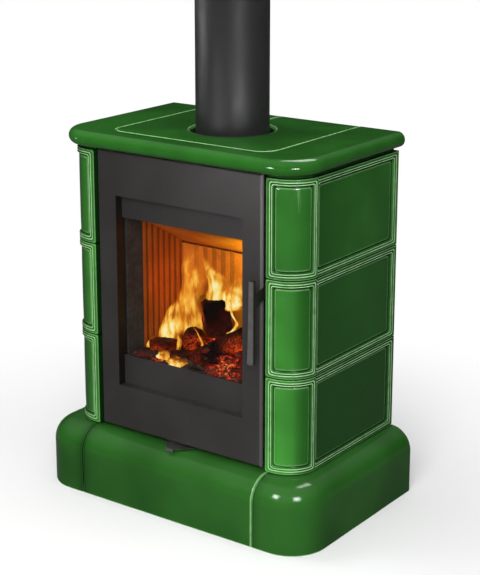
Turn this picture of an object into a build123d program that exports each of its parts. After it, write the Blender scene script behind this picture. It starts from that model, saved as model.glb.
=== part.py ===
from build123d import *
import math
import os

# A wood stove clad in glazed tiles, in millimetres. +Z is up, the door faces -Y, and the origin is
# on the floor under the middle of the stove. "_z" values are heights above the floor and "_y"
# values are places along Y.

# ---------------------------------------------------------------- driving dimensions
# Overall
body_width = 618              # across the tile faces
body_depth = 382              # tile front face to the back
tile_height = 208
tile_rows = 3
ceramic_joint = 1.5           # open joint between two ceramic pieces
seat = 0.3                    # clearance of parts that only rest against each other
running_clearance = 0.05      # radial clearance of a pin that turns in its bore

# Plinth
plinth_height = 148
plinth_projection = 50        # beyond the tiles at each side
plinth_toe = 56               # beyond the tiles at the front
plinth_corner_radius = 84
plinth_edge_radius = 50       # quarter-round along the top edge
plinth_wall = 20
plinth_front_piece = 461      # width of the middle piece between its two seams
plinth_ledge = 47             # how far the flat top reaches in behind the tile faces

# Tiles
tile_depth = 30
tile_corner_radius = 67
corner_tile_flat = 16         # straight stretch beside the door
tile_shell = 14               # ceramic thickness of the tile's face
tile_rim = 10                 # thickness of the rim round the tile's hollow back
tile_edge = 2.5               # eased edge round the face
bead_margin = 6.8             # plain border outside the double bead
bead_width = 3.6
bead_pitch = 8                # centre of the outer bead to centre of the inner bead
bead_groove = 2.2             # depth of the groove between the beads
panel_cove = 4.6              # from the inner bead to the panel
panel_recess = 4              # panel below the frame face
frame_corner_radius = 9

# Top slab
slab_thickness = 34
slab_overhang_side = 13
slab_overhang_front = 23
slab_corner_radius = 84
slab_bedding_thickness = 7.5
slab_bedding_width = 14
slab_bedding_inset = 9
slab_panel_width = 418        # across the two straight seams of the top
slab_panel_front = 55         # front seam behind the slab's front edge
slab_panel_radius = 38
slab_flue_gap = 14            # ring gap between the flue pipe and the slab
slab_slit = 2                 # expansion slit from the flue hole to the back

# Steel carcass
sheet = 2
plate = 4
base_tube = 30
base_front = 98               # front of the base frame behind the plinth front
base_side_gap = 3
leg_foot_height = 16          # lower end of the legs above the floor
foot_radius = 18
foot_plate = 8
foot_stud_radius = 5
foot_stud_reach = 40          # stud inside the leg
stud_clearance = 0.1
lug_reach = 24                # shelf lugs under the plinth's ledge
lug_width = 24
lug_plate = 5
lug_corner = 60               # side lugs from the ends of the base frame
shield_gap = 10               # rear shield in from the back of the cladding
carcass_corner = 16           # square stretch of the carcass front past the corner's centre
casing_flange = 18
vent_slots = 9
vent_width = 12
vent_height = 50
top_vents = 5                 # slots in the top plate, at each side
top_vent_length = 110
top_vent_width = 14
top_vent_pitch = 50
rail_inset = 3                # tile rail behind the corner tile's end
rail_flange = 26
tile_clip_width = 24
tile_clip_height = 14
tile_clip_front = 60          # front clip behind the side tile's front end
tile_clip_rear = 60           # rear clip in front of the side tile's rear end
tile_clip_gap = 4             # end of a clip's hook to the tile's shell

# Firebox
door_stile = 49.5             # door edge to the window
window_rail_bottom = 99       # door's lower edge to the window
window_rail_top = 96          # window to the door's upper edge
lining = 25
firebox_rear_gap = 116        # firebox back to the back of the cladding
rear_lining = 30
firebox_lift = 38             # firebox floor above the plinth
firebox_drop = 56             # firebox top below the carcass top
throat_depth = 89             # door face to the front edge of the side linings
throat_wall = 6
hearth_drop = 33              # hearth plate below the sill
hearth_floor = 26             # thickness of the floor bricks
hearth_ledge_width = 12
hearth_ledge_depth = 8
rib_pitch = 20
rib_depth = 3.5
rear_rib_pitch = 25
rear_flat_half = 20           # half width of the plain middle of the rear lining
rib_margin = 12               # plain foot of a ribbed panel
baffle_drop = 24              # baffle's front edge below the lintel
baffle_fall = 73              # baffle's rear edge below its front edge
baffle_setback = 13           # baffle's front edge behind the throat
baffle_seat = 10              # baffle's rear edge on the rear lining
baffle_thickness = 22
grate_length = 200
grate_width = 104
grate_bars = 11
grate_bar_width = 7
grate_rim = 9
grate_thickness = 12
grate_gap = 1                 # grate to the bricks round it
collar_gap = 1                # throat collar behind the steel front's face
ash_opening_gap = 6           # opening in the steel front beside the ash pan

# Door
door_gap_side = 9             # door edge to the corner tile
door_gap_bottom = 6           # door edge to the plinth
door_gap_top = 4              # door edge to the slab
door_sink = 2                 # door face behind the tile faces
door_thickness = 6
door_edge_radius = 4
window_reveal = 20            # door face to the inner frame
reveal_wall = 3
inner_frame_margin_side = 20  # door edge to the inner frame
inner_frame_margin_bottom = 14
inner_frame_margin_top = 68
inner_frame_thickness = 4
lower_rail = 66               # inner rail seen through the window, below the glass
upper_rail = 52
glass_thickness = 4
glass_overlap = 10
glass_tape = 2
glass_tape_width = 8
clip_width = 24
clip_foot = 7
clip_lip = 1.5
clip_screw_radius = 1.5
rope_radius = 4.9
rope_inset = 9                # rope centre inside the inner frame's edge
rope_corner = 14
channel_wall = 2

# Hinges
hinge_inset = 9               # hinge axis in from the door's left edge
hinge_depth = 12              # hinge axis behind the door's face
hinge_pin_radius = 4
hinge_boss = 5.4
hinge_tab = 5
hinge_lug_radius = 5.7
hinge_lug_height = 7
hinge_clear_bottom = 3        # lower tab above the door's lower edge
hinge_clear_top = 23          # upper tab below the door's upper edge
hinge_arm_in = 2              # tab's arm inward of the axis
hinge_arm_out = 12

# Handle and latch
handle_plate = 4
handle_gap = 0.8              # lever plate beside the door's edge
pivot_depth = 18              # lever pivot behind the door's face
pivot_drop = 240              # lever pivot below the door's upper edge
pivot_pin_radius = 4
pivot_head = 6.5
pivot_boss = 12
cheek = 5
cheek_foot = 15               # the cheek's foot along the door's back
cheek_reach = 8               # cheek behind the pivot's axis
latch_post_margin = 2         # post beyond the roller
arm_height = 25
arm_drop = 15                 # the arm's outer end below the pivot
grip_standoff = 30            # free space between the grip and the door
grip_thickness = 8
grip_rise = 28                # grip's top above the pivot
grip_length = 178
grip_width_top = 12
grip_width_bottom = 16
grip_bevel = 3
grip_edge = 1.2
claw_drop = 29
claw_reach = 8
claw_radius = 3.6
roller_radius = 5
roller_axle = 2.5
roller_gap = 0.8

# Air control and ash pan
slide_lift = 1.5              # air slide above the base plate
slide_thickness = 2
slide_half_width = 80
slide_depth = 76
slide_nose = 24               # slide in front of the air box
guide_width = 8
guide_margin = 4              # guide strip in from the air box's front and rear
guide_overrun = 10            # guide strip past the slide at the end of its travel
air_hole_radius = 25
air_setback = 30              # air box behind the steel front
air_slot = 16
air_slot_pitch = 34
lever_root_width = 84
lever_door_width = 77
lever_nose_width = 20
lever_reach = 36              # nose in front of the door's face
lever_nose_height = 8
lever_nose_plate = 3.5
lever_root_gap = 6            # lever's root in front of the air box
lever_waist = 12              # where the lever's taper starts, behind the door's face
lever_side_gap = 4            # notch in the steel front beside the lever's travel
lever_head_gap = 1.5          # and above the lever
air_travel = 28
pan_side_gap = 17.5           # pan inside the fire chamber's width
pan_setback = 66              # pan front behind the door's face
pan_length = 170
pan_headroom = 18             # pan rim below the hearth plate
pan_wall = 1.5
pan_lip = 5
pan_grip = 9
pan_grip_width = 90
pan_grip_height = 16
pan_grip_bar = 3
pan_grip_cheek = 4

# Flue
flue_radius = 80
flue_wall = 2
flue_length = 500
flue_socket_length = 50
flue_back = 184               # pipe axis in front of the back of the cladding
flue_fit = 0.4
flue_seat_drop = 22           # pipe's lower end below the carcass top
spigot_wall = 5
spigot_flange = 4
spigot_engagement = 44

# ---------------------------------------------------------------- worked out from them
plinth_depth = body_depth + plinth_toe
plinth_half = body_width / 2 + plinth_projection
front_y = -plinth_depth / 2
back_y = plinth_depth / 2
body_half = body_width / 2
ledge_half = body_half - plinth_ledge
tile_front_y = front_y + plinth_toe
tile_pitch = tile_height + ceramic_joint
tiles_bottom_z = plinth_height + ceramic_joint
tiles_top_z = tiles_bottom_z + tile_rows * tile_pitch - ceramic_joint
slab_bottom_z = tiles_top_z + slab_bedding_thickness
slab_top_z = slab_bottom_z + slab_thickness
slab_half = body_half + slab_overhang_side
slab_front_y = tile_front_y - slab_overhang_front
slab_panel_y = slab_front_y + slab_panel_front
corner_x = body_half - tile_corner_radius
corner_y = tile_front_y + tile_corner_radius
tile_gap_x = corner_x - corner_tile_flat
side_tile_y = corner_y + ceramic_joint
casing_half = body_half - tile_depth - seat
carcass_front_half = corner_x + carcass_corner
panel_margin = bead_margin + bead_pitch + bead_width + panel_cove

door_face_y = tile_front_y + door_sink
door_half = tile_gap_x - door_gap_side
door_back_y = door_face_y + door_thickness
door_bottom_z = plinth_height + door_gap_bottom
door_top_z = slab_bottom_z - door_gap_top
opening_half = door_half - door_stile
window_bottom_z = door_bottom_z + window_rail_bottom
window_top_z = door_top_z - window_rail_top
sill_z = window_bottom_z + lower_rail
lintel_z = window_top_z - upper_rail
inner_half = door_half - inner_frame_margin_side
inner_bottom_z = door_bottom_z + inner_frame_margin_bottom
inner_top_z = door_top_z - inner_frame_margin_top
inner_frame_y = door_face_y + window_reveal
glass_bed_y = inner_frame_y + inner_frame_thickness
glass_front_y = glass_bed_y + glass_tape
glass_back_y = glass_front_y + glass_thickness
rope_y = glass_bed_y + rope_radius + seat / 2
frame_face_y = rope_y + rope_radius + seat
frame_back_y = frame_face_y + plate

base_top_z = plinth_height - plate
base_half = ledge_half - base_side_gap
base_front_y = front_y + base_front
base_back_y = back_y - base_tube
carcass_top_z = tiles_top_z - plate
shield_y = back_y - shield_gap
throat_y = door_face_y + throat_depth
firebox_half = opening_half + lining + seat + plate
chamber_half = opening_half + lining
firebox_back_y = back_y - firebox_rear_gap
chamber_back_y = firebox_back_y - plate - seat - rear_lining
firebox_floor_z = plinth_height + firebox_lift
firebox_top_z = carcass_top_z - firebox_drop
hearth_z = sill_z - hearth_drop
chamber_floor_z = hearth_z + plate + hearth_floor
baffle_y = throat_y + baffle_setback
baffle_front_z = lintel_z - baffle_drop
baffle_rear_z = baffle_front_z - baffle_fall
grate_y = (throat_y + chamber_back_y) / 2
throat_half = opening_half + throat_wall
throat_low = chamber_floor_z - throat_wall
throat_high = lintel_z + throat_wall + throat_wall
flue_y = back_y - flue_back
slab_hole_radius = flue_radius + slab_flue_gap
bore_radius = flue_radius - flue_wall
spigot_radius = bore_radius - flue_fit
spigot_bore = spigot_radius - spigot_wall
pipe_bottom_z = carcass_top_z - flue_seat_drop

hinge_x = -door_half + hinge_inset
hinge_y = door_face_y + hinge_depth
lever_x = door_half + handle_gap
pivot_y = door_face_y + pivot_depth
pivot_z = door_top_z - pivot_drop
grip_y = door_face_y - grip_standoff
slide_z = plinth_height + slide_lift
lever_z = slide_z + slide_thickness
air_front_y = frame_back_y + air_setback
air_back_y = air_front_y + slide_depth
air_middle_y = (air_front_y + air_back_y) / 2
pan_floor_z = firebox_floor_z + plate
pan_half = opening_half - pan_side_gap
pan_height = hearth_z - pan_headroom - pan_floor_z

os.makedirs("parts", exist_ok=True)


# ---------------------------------------------------------------- helpers
def block(x0, x1, y0, y1, z0, z1):
    """A box between two corners."""
    centre = ((x0 + x1) / 2, (y0 + y1) / 2, (z0 + z1) / 2)
    return Pos(*centre) * Box(x1 - x0, y1 - y0, z1 - z0)


def rod(x, y, z, radius, length, axis="Z"):
    """A cylinder that starts at a point and runs along one axis."""
    along = {"X": (1, 0, 0), "Y": (0, 1, 0), "Z": (0, 0, 1)}[axis]
    return extrude(Plane(origin=(x, y, z), z_dir=along) * Circle(radius), length)


def prism(points, x0, x1):
    """A (y, z) outline carried along X."""
    outline = make_face(Polyline([(x0, y, z) for y, z in points], close=True))
    return extrude(outline, x1 - x0, dir=(1, 0, 0))


def slab_of(points, z0, z1):
    """An (x, y) outline carried along Z."""
    outline = make_face(Polyline([(x, y, z0) for x, y in points], close=True))
    return extrude(outline, z1 - z0, dir=(0, 0, 1))


def mirrored(shape):
    return mirror(shape, Plane.YZ)


def both_sides(shape):
    return [shape, mirrored(shape)]


def save(name, shape):
    """Writes one sub-part, as a single solid or a group of them."""
    solids = [s for item in (shape if isinstance(shape, list) else [shape]) for s in item.solids()]
    whole = solids[0] if len(solids) == 1 else Compound(children=solids)
    export_step(whole, f"parts/{name}.step")


def save_pair(name, shape):
    """Writes the right-hand piece and its mirror image."""
    save(name.format(side="right"), shape)
    save(name.format(side="left"), mirrored(shape))


# ---------------------------------------------------------------- plinth
def rounded_front(half, y0, y1, radius, z0, height):
    """A block whose two front upright edges are rounded."""
    solid = block(-half, half, y0, y1, z0, z0 + height)
    uprights = solid.edges().filter_by(Axis.Z).sort_by(Axis.Y)[:2]
    return fillet(uprights, radius)


def open_edges(face, y):
    """A face's edges, without the one that lies along the back."""
    return [edge for edge in face.edges() if abs(edge.center().Y - y) > 1]


def plinth_shell():
    outer = rounded_front(plinth_half, front_y, back_y, plinth_corner_radius, 0, plinth_height)
    outer = fillet(open_edges(outer.faces().sort_by(Axis.Z)[-1], back_y), plinth_edge_radius)
    beyond_y = back_y + plinth_wall
    inner = rounded_front(plinth_half - plinth_wall, front_y + plinth_wall, beyond_y,
                          plinth_corner_radius - plinth_wall, 0, plinth_height - plinth_wall)
    inner = fillet(open_edges(inner.faces().sort_by(Axis.Z)[-1], beyond_y), plinth_edge_radius - plinth_wall)
    well = block(-ledge_half, ledge_half, base_front_y - base_side_gap, beyond_y, plinth_height / 2,
                 plinth_height + 1)
    return outer - inner - well


shell = plinth_shell()
seam_x = plinth_front_piece / 2
save("plinth_front", shell & block(-seam_x, seam_x, front_y - 1, 0, -1, plinth_height + 1))
save_pair("plinth_corner_{side}", shell & block(seam_x + ceramic_joint, plinth_half + 1, front_y - 1,
                                                back_y + 1, -1, plinth_height + 1))


# ---------------------------------------------------------------- tiles
def frame_steps():
    """The face's steps from the tile's edge inwards, as (inset from, inset to, depth)."""
    inner_bead = bead_margin + bead_pitch
    return [
        (tile_edge, bead_margin, bead_groove / 2),
        (bead_margin + bead_width, inner_bead, bead_groove),
        (inner_bead + bead_width, panel_margin, panel_recess + bead_groove),
        (panel_margin, None, panel_recess),
    ]


def sink_face(tile, window):
    """Cuts the frame's steps into a tile. window(inset, depth) is the face inside an inset."""
    for start, end, depth in frame_steps():
        cut = window(start, depth)
        if end is not None:
            cut -= window(end, depth + 1)
        tile -= cut
    return tile


def window_radius(inset):
    return max(frame_corner_radius - inset / 3, 2)


def side_tile(z0):
    z1 = z0 + tile_height
    y0 = side_tile_y
    back_x = body_half - tile_depth

    def window(inset, depth):
        solid = block(body_half - depth, body_half + 1, y0 + inset, back_y - inset, z0 + inset, z1 - inset)
        return fillet(solid.edges().filter_by(Axis.X), window_radius(inset))

    tile = block(back_x, body_half, y0, back_y, z0, z1)
    tile = sink_face(chamfer(tile.faces().sort_by(Axis.X)[-1].edges(), tile_edge / 2), window)
    return tile - block(back_x - 1, body_half - tile_shell, y0 + tile_rim, back_y - tile_rim, z0 + tile_rim,
                        z1 - tile_rim)


def corner_band(outer, inner, start, end, z0, z1):
    """Part of the rounded corner between two depths behind its face. start is trimmed off the flat
    end beside the door, and end, measured round the face, off the end beside the side tile."""
    r_out = tile_corner_radius - outer
    r_in = tile_corner_radius - inner
    turn = math.pi / 2 - end / tile_corner_radius
    x0 = tile_gap_x + start

    def at(radius, share):
        angle = turn * share
        return (corner_x + radius * math.sin(angle), corner_y - radius * math.cos(angle))

    outline = Curve() + [
        Line((x0, corner_y - r_out), at(r_out, 0)),
        ThreePointArc(at(r_out, 0), at(r_out, 0.5), at(r_out, 1)),
        Line(at(r_out, 1), at(r_in, 1)),
        ThreePointArc(at(r_in, 1), at(r_in, 0.5), at(r_in, 0)),
        Line(at(r_in, 0), (x0, corner_y - r_in)),
        Line((x0, corner_y - r_in), (x0, corner_y - r_out)),
    ]
    return extrude(Pos(0, 0, z0) * make_face(outline), z1 - z0)


def corner_tile(z0):
    z1 = z0 + tile_height

    def window(inset, depth):
        return corner_band(-1, depth, inset, inset, z0 + inset, z1 - inset)

    tile = sink_face(corner_band(0, tile_depth, 0, 0, z0, z1), window)
    return tile - corner_band(tile_shell, tile_depth + 1, tile_rim, tile_rim, z0 + tile_rim, z1 - tile_rim)


for row in range(tile_rows):
    row_z = tiles_bottom_z + row * tile_pitch
    save_pair("side_tile_{side}_" + str(row + 1), side_tile(row_z))
    save_pair("corner_tile_{side}_" + str(row + 1), corner_tile(row_z))


# ---------------------------------------------------------------- top slab
def whole_slab():
    slab = rounded_front(slab_half, slab_front_y, back_y, slab_corner_radius, slab_bottom_z, slab_thickness)
    rims = [edge for face in slab.faces().filter_by(Axis.Z) for edge in open_edges(face, back_y)]
    return fillet(rims, slab_thickness / 2 - 0.2)


def slab_panel(shrink):
    """The middle plate of the slab, open to the back."""
    return rounded_front(slab_panel_width / 2 - shrink, slab_panel_y + shrink, back_y + 1,
                         slab_panel_radius - shrink, slab_bottom_z - 1, slab_thickness + 2)


def slab_bedding():
    """Fibre strips that the slab lies on: along the tile tops, and two under the middle plate."""
    out = body_half - slab_bedding_inset
    y0 = tile_front_y + slab_bedding_inset
    width = slab_bedding_width
    radius = tile_corner_radius - slab_bedding_inset
    strip = rounded_front(out, y0, back_y - slab_bedding_inset, radius, tiles_top_z, slab_bedding_thickness)
    strip -= rounded_front(out - width, y0 + width, back_y, radius - width, tiles_top_z,
                           slab_bedding_thickness)
    strip -= block(-tile_gap_x, tile_gap_x, front_y, y0 + 2 * width, tiles_top_z, slab_top_z)
    rest_x = slab_hole_radius + slab_bedding_inset
    rest = block(rest_x, rest_x + width, slab_panel_y + 20, shield_y - 20, tiles_top_z, slab_bottom_z)
    return [strip] + both_sides(rest)


slab = whole_slab()
flue_hole = rod(0, flue_y, slab_bottom_z - 1, slab_hole_radius, slab_thickness + 2)
slit = block(-slab_slit / 2, slab_slit / 2, flue_y, back_y + 1, slab_bottom_z - 1, slab_top_z + 1)
save("slab_border", slab - slab_panel(0))
save("slab_centre", (slab & slab_panel(ceramic_joint)) - flue_hole - slit)
save("slab_bedding", slab_bedding())


# ---------------------------------------------------------------- base
def leg_places():
    x = base_half - base_tube / 2
    return [(side * x, y) for side in (-1, 1)
            for y in (base_front_y + base_tube / 2, base_back_y - base_tube / 2)]


def base_frame():
    """A tube ring on four legs, with lugs that carry the plinth's ledge."""
    tube = base_tube
    ring = block(-base_half, base_half, base_front_y, base_back_y, base_top_z - tube, base_top_z)
    ring -= block(-base_half + tube, base_half - tube, base_front_y + tube, base_back_y - tube,
                  base_top_z - tube - 1, base_top_z + 1)
    lug_z = plinth_height - plinth_wall - seat
    for y in (base_front_y + lug_corner, base_back_y - lug_corner):
        lug = block(base_half - 1, base_half + lug_reach, y - lug_width / 2, y + lug_width / 2,
                    lug_z - lug_plate, lug_z)
        for side in both_sides(lug):
            ring += side
    for x in (-base_half / 2, base_half / 2):
        ring += block(x - lug_width / 2, x + lug_width / 2, base_front_y - lug_reach, base_front_y + 1,
                      lug_z - lug_plate, lug_z)
    for x, y in leg_places():
        ring += block(x - tube / 2, x + tube / 2, y - tube / 2, y + tube / 2, leg_foot_height, base_top_z)
    for x, y in leg_places():
        ring -= rod(x, y, leg_foot_height - 1, foot_stud_radius + stud_clearance, foot_stud_reach + 10)
    return ring


def levelling_foot(x, y):
    foot = rod(x, y, 0, foot_radius, foot_plate)
    foot += rod(x, y, 0, foot_stud_radius, leg_foot_height + foot_stud_reach)
    nut = Pos(x, y, foot_plate) * RegularPolygon(2 * foot_stud_radius, 6)
    return foot + extrude(nut, leg_foot_height - foot_plate - seat)


save("base_frame", base_frame())
save("levelling_feet", [levelling_foot(x, y) for x, y in leg_places()])
base = block(-base_half, base_half, base_front_y, base_back_y, base_top_z, plinth_height)
air_hole = rod(0, air_middle_y, base_top_z - 1, air_hole_radius, plate + 2)
save("base_plate", base - air_hole)


# ---------------------------------------------------------------- carcass
def front_frame():
    """The steel front that the door closes on, with the fire, ash-pan and air-lever openings."""
    y0 = frame_face_y
    y1 = frame_back_y
    frame = block(-carcass_front_half, carcass_front_half, y0, y1, plinth_height, carcass_top_z)
    frame -= block(-throat_half, throat_half, y0 - 1, y1 + 1, throat_low, throat_high)
    half = pan_half + ash_opening_gap
    frame -= block(-half, half, y0 - 1, y1 + 1, pan_floor_z, hearth_z)
    reach = lever_root_width / 2 + air_travel + lever_side_gap
    notch_top = lever_z + slide_thickness + lever_head_gap
    return frame - block(-reach, reach, y0 - 1, y1 + 1, plinth_height - 1, notch_top)


def bent_side(inset):
    """The casing side's outline: flange, slanting corner, flat side and rear flange."""
    half = casing_half - inset
    front_half = carcass_front_half - inset / 2
    y0 = frame_back_y + inset
    y1 = shield_y - inset
    return [(front_half - casing_flange, y0), (front_half, y0), (half, corner_y + inset / 2), (half, y1),
            (half - casing_flange, y1)]


def casing_side():
    outline = bent_side(0) + bent_side(sheet)[::-1]
    return slab_of(outline, plinth_height, carcass_top_z)


def rear_shield():
    """The back panel, with rows of convection slots near its top and bottom."""
    shield = block(-casing_half, casing_half, shield_y, shield_y + sheet, plinth_height, carcass_top_z)
    pitch = 2 * casing_half / (vent_slots + 1)
    for index in range(vent_slots):
        x = -casing_half + pitch * (index + 1)
        for z in (plinth_height + vent_height, carcass_top_z - 2 * vent_height):
            slot = block(x - vent_width / 2, x + vent_width / 2, shield_y - 1, shield_y + sheet + 1, z,
                         z + vent_height)
            shield -= fillet(slot.edges().filter_by(Axis.Y), vent_width / 2 - 0.1)
    return shield


def top_plate():
    right = [(carcass_front_half, frame_face_y), (casing_half, corner_y), (casing_half, shield_y + sheet)]
    left = [(-x, y) for x, y in reversed(right)]
    top = slab_of(right + left, carcass_top_z, tiles_top_z)
    top -= rod(0, flue_y, carcass_top_z - 1, flue_radius + spigot_flange + 2, plate + 2)
    x = slab_hole_radius + slab_bedding_inset + 2 * slab_bedding_width
    for index in range(top_vents):
        y = frame_face_y + top_vent_pitch * (index + 1)
        vent = block(x, x + top_vent_length, y, y + top_vent_width, carcass_top_z - 1, tiles_top_z + 1)
        for side in both_sides(vent):
            top -= side
    return top


def tile_rail():
    """An upright angle on the steel front that the corner tiles seat against."""
    x0 = tile_gap_x + rail_inset
    y0 = tile_front_y + tile_depth + seat
    rail = block(x0, x0 + rail_flange, frame_face_y - sheet, frame_face_y, tiles_bottom_z, carcass_top_z)
    return rail + block(x0, x0 + sheet, y0, frame_face_y, tiles_bottom_z, carcass_top_z)


def tile_clips():
    """Clips on the casing side that hold each side tile by the rim of its hollow back."""
    made = []
    reach = tile_depth - tile_shell - tile_clip_gap
    width = tile_clip_width
    height = tile_clip_height
    for row in range(tile_rows):
        low = tiles_bottom_z + row * tile_pitch + tile_rim + seat
        high = low + tile_height - 2 * tile_rim - 2 * seat
        for y in (side_tile_y + tile_clip_front, back_y - tile_clip_rear - width):
            for z0, hook in ((low, low), (high - height, high - sheet)):
                clip = block(casing_half, casing_half + sheet, y, y + width, z0, z0 + height)
                clip += block(casing_half, casing_half + reach, y, y + width, hook, hook + sheet)
                made += both_sides(clip)
    return made


save("front_frame", front_frame())
save_pair("casing_{side}", casing_side())
save("rear_shield", rear_shield())
save("top_plate", top_plate())
save("tile_rails", both_sides(tile_rail()))
save("tile_clips", tile_clips())


# ---------------------------------------------------------------- firebox
def baffle_under(y):
    """Height of the baffle's underside at a place along Y."""
    share = (y - chamber_back_y) / (baffle_y - chamber_back_y)
    return baffle_rear_z + baffle_fall * share


def firebox_shell():
    """The welded steel box, open in front, with ledges for the hearth plate."""
    half = firebox_half - plate
    box = block(-firebox_half, firebox_half, frame_back_y, firebox_back_y, firebox_floor_z, firebox_top_z)
    box -= block(-half, half, frame_back_y - 1, firebox_back_y - plate, pan_floor_z, firebox_top_z - plate)
    box -= rod(0, flue_y, firebox_top_z - plate - 1, spigot_bore, plate + 2)
    box -= rod(0, air_middle_y, firebox_floor_z - 1, air_hole_radius, plate + 2)
    ledge = block(half - hearth_ledge_width, half, frame_back_y, firebox_back_y - plate,
                  hearth_z - hearth_ledge_depth, hearth_z)
    for side in both_sides(ledge):
        box += side
    return box


def hearth_plate():
    """The steel floor of the fire chamber, with the hole that the grate lies over."""
    z1 = hearth_z + plate
    floor = block(-chamber_half, chamber_half, frame_back_y, firebox_back_y - plate - seat, hearth_z, z1)
    well_x = grate_length / 2 - grate_rim + grate_gap
    well_y = grate_width / 2 - grate_rim + grate_gap
    return floor - block(-well_x, well_x, grate_y - well_y, grate_y + well_y, hearth_z - 1, z1 + 1)


def floor_bricks():
    """The brick floor round the grate, in four pieces with a tight joint."""
    z0 = hearth_z + plate
    y0 = throat_y
    y1 = firebox_back_y - plate - seat
    well_x = grate_length / 2 + grate_gap
    front = grate_y - grate_width / 2 - grate_gap
    rear = grate_y + grate_width / 2 + grate_gap
    return both_sides(block(well_x, chamber_half, y0, y1, z0, chamber_floor_z)) + [
        block(-well_x + seat, well_x - seat, y0, front, z0, chamber_floor_z),
        block(-well_x + seat, well_x - seat, rear, y1, z0, chamber_floor_z),
    ]


def grate():
    """A cast grate of bars in a rectangular rim, lying on the hearth plate."""
    z0 = hearth_z + plate
    z1 = z0 + grate_thickness
    gx = grate_length / 2
    gy = grate_width / 2
    casting = block(-gx, gx, grate_y - gy, grate_y + gy, z0, z1)
    casting -= block(-gx + grate_rim, gx - grate_rim, grate_y - gy + grate_rim, grate_y + gy - grate_rim,
                     z0 - 1, z1 + 1)
    pitch = 2 * (gx - grate_rim) / grate_bars
    for index in range(1, grate_bars):
        x = -gx + grate_rim + pitch * index - grate_bar_width / 2
        casting += block(x, x + grate_bar_width, grate_y - gy + grate_rim / 2, grate_y + gy - grate_rim / 2,
                         z0, z1)
    return casting


def side_lining():
    """A ribbed panel that stands on the floor bricks, cut off above along the baffle."""
    y0 = throat_y
    y1 = chamber_back_y - seat
    z0 = chamber_floor_z
    top = baffle_front_z - seat
    outline = [(y0, z0), (y1, z0), (y1, baffle_under(y1) - seat), (baffle_y, top), (y0, top)]
    panel = prism(outline, opening_half, chamber_half)
    groove_x = opening_half + rib_depth
    for index in range(int((y1 - y0) / rib_pitch)):
        y = y0 + rib_pitch * (index + 0.5)
        panel -= block(opening_half - 1, groove_x, y, y + rib_pitch / 2, z0 + rib_margin, top + 1)
    return panel


def rear_panel():
    z0 = chamber_floor_z
    y0 = chamber_back_y
    top = baffle_under(y0 + baffle_seat) - seat
    panel = block(-chamber_half, chamber_half, y0, y0 + rear_lining, z0, top)
    for index in range(int((opening_half - rear_flat_half) / rear_rib_pitch)):
        x = rear_flat_half + rear_rib_pitch * index
        groove = block(x, x + rear_rib_pitch / 2, y0 - 1, y0 + rib_depth, z0 + rib_margin, top + 1)
        for side in both_sides(groove):
            panel -= side
    return panel


def baffle():
    """The sloping plate over the fire, resting on the rear and side linings."""
    rear_y = chamber_back_y + baffle_seat
    rear_z = baffle_under(rear_y)
    outline = [(baffle_y, baffle_front_z), (rear_y, rear_z), (rear_y, rear_z + baffle_thickness),
               (baffle_y, baffle_front_z + baffle_thickness)]
    return prism(outline, -chamber_half, chamber_half)


def throat_frame():
    """The cast collar between the steel front and the linings."""
    y0 = frame_face_y + collar_gap
    wall = throat_half - seat
    tunnel = block(-wall, wall, y0, throat_y - seat, throat_low + seat, throat_high - seat)
    tunnel -= block(-opening_half, opening_half, y0 - 1, throat_y + 1, chamber_floor_z,
                    throat_high - throat_wall)
    flange = block(-chamber_half, chamber_half, throat_y - throat_wall, throat_y - seat, hearth_z + plate,
                   throat_high + throat_wall)
    flange -= block(-wall + 1, wall - 1, throat_y - throat_wall - 1, throat_y + 1, throat_low + 1,
                    throat_high - 1)
    return tunnel + flange


save("firebox_shell", firebox_shell())
save("hearth_plate", hearth_plate())
save("floor_bricks", floor_bricks())
save("grate", grate())
save_pair("lining_{side}", side_lining())
save("lining_rear", rear_panel())
save("baffle", baffle())
save("throat_frame", throat_frame())


# ---------------------------------------------------------------- air control and ash pan
def air_slots(z0, z1):
    """Five slots across, the same in the air box and in the slide."""
    y0 = air_front_y + air_slot
    y1 = air_back_y - air_slot
    return [block(air_slot_pitch * i - air_slot / 2, air_slot_pitch * i + air_slot / 2, y0, y1, z0, z1)
            for i in range(-2, 3)]


def air_box():
    """The duct under the firebox that the slide opens and shuts from below."""
    half = slide_half_width + air_slot
    bottom = lever_z + seat
    box = block(-half, half, air_front_y, air_back_y, bottom, firebox_floor_z)
    box -= block(-half + sheet, half - sheet, air_front_y + sheet, air_back_y - sheet, bottom + sheet,
                 firebox_floor_z + 1)
    for slot in air_slots(bottom - 1, bottom + sheet + 1):
        box -= slot
    return box


def slide_guides():
    """Two strips on the base plate that the slide runs over."""
    half = slide_half_width + air_travel + guide_overrun
    places = (air_front_y + guide_margin, air_back_y - guide_margin - guide_width)
    return [block(-half, half, y, y + guide_width, plinth_height, slide_z - seat) for y in places]


def air_slide():
    slide = block(-slide_half_width, slide_half_width, air_front_y - slide_nose, air_back_y, slide_z,
                  lever_z)
    for slot in air_slots(slide_z - 1, lever_z + 1):
        slide -= slot
    return slide


def air_lever():
    """A tapered plate with an upright nose, lying on the front of the air slide."""
    root = lever_root_width / 2
    at_door = lever_door_width / 2
    nose = lever_nose_width / 2
    tip_y = door_face_y - lever_reach
    root_y = air_front_y - lever_root_gap
    right = [(nose, tip_y), (nose, tip_y + lever_nose_height), (at_door, door_face_y),
             (root, door_face_y + lever_waist), (root, root_y)]
    lever = slab_of(right + [(-x, y) for x, y in reversed(right)], lever_z, lever_z + slide_thickness)
    middle_z = lever_z + slide_thickness / 2
    half = lever_nose_height / 2
    fold = block(-nose, nose, tip_y - lever_nose_plate / 2, tip_y + lever_nose_plate / 2, middle_z - half,
                 middle_z + half)
    return lever + fillet(fold.edges().filter_by(Axis.X), 0.8)


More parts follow.
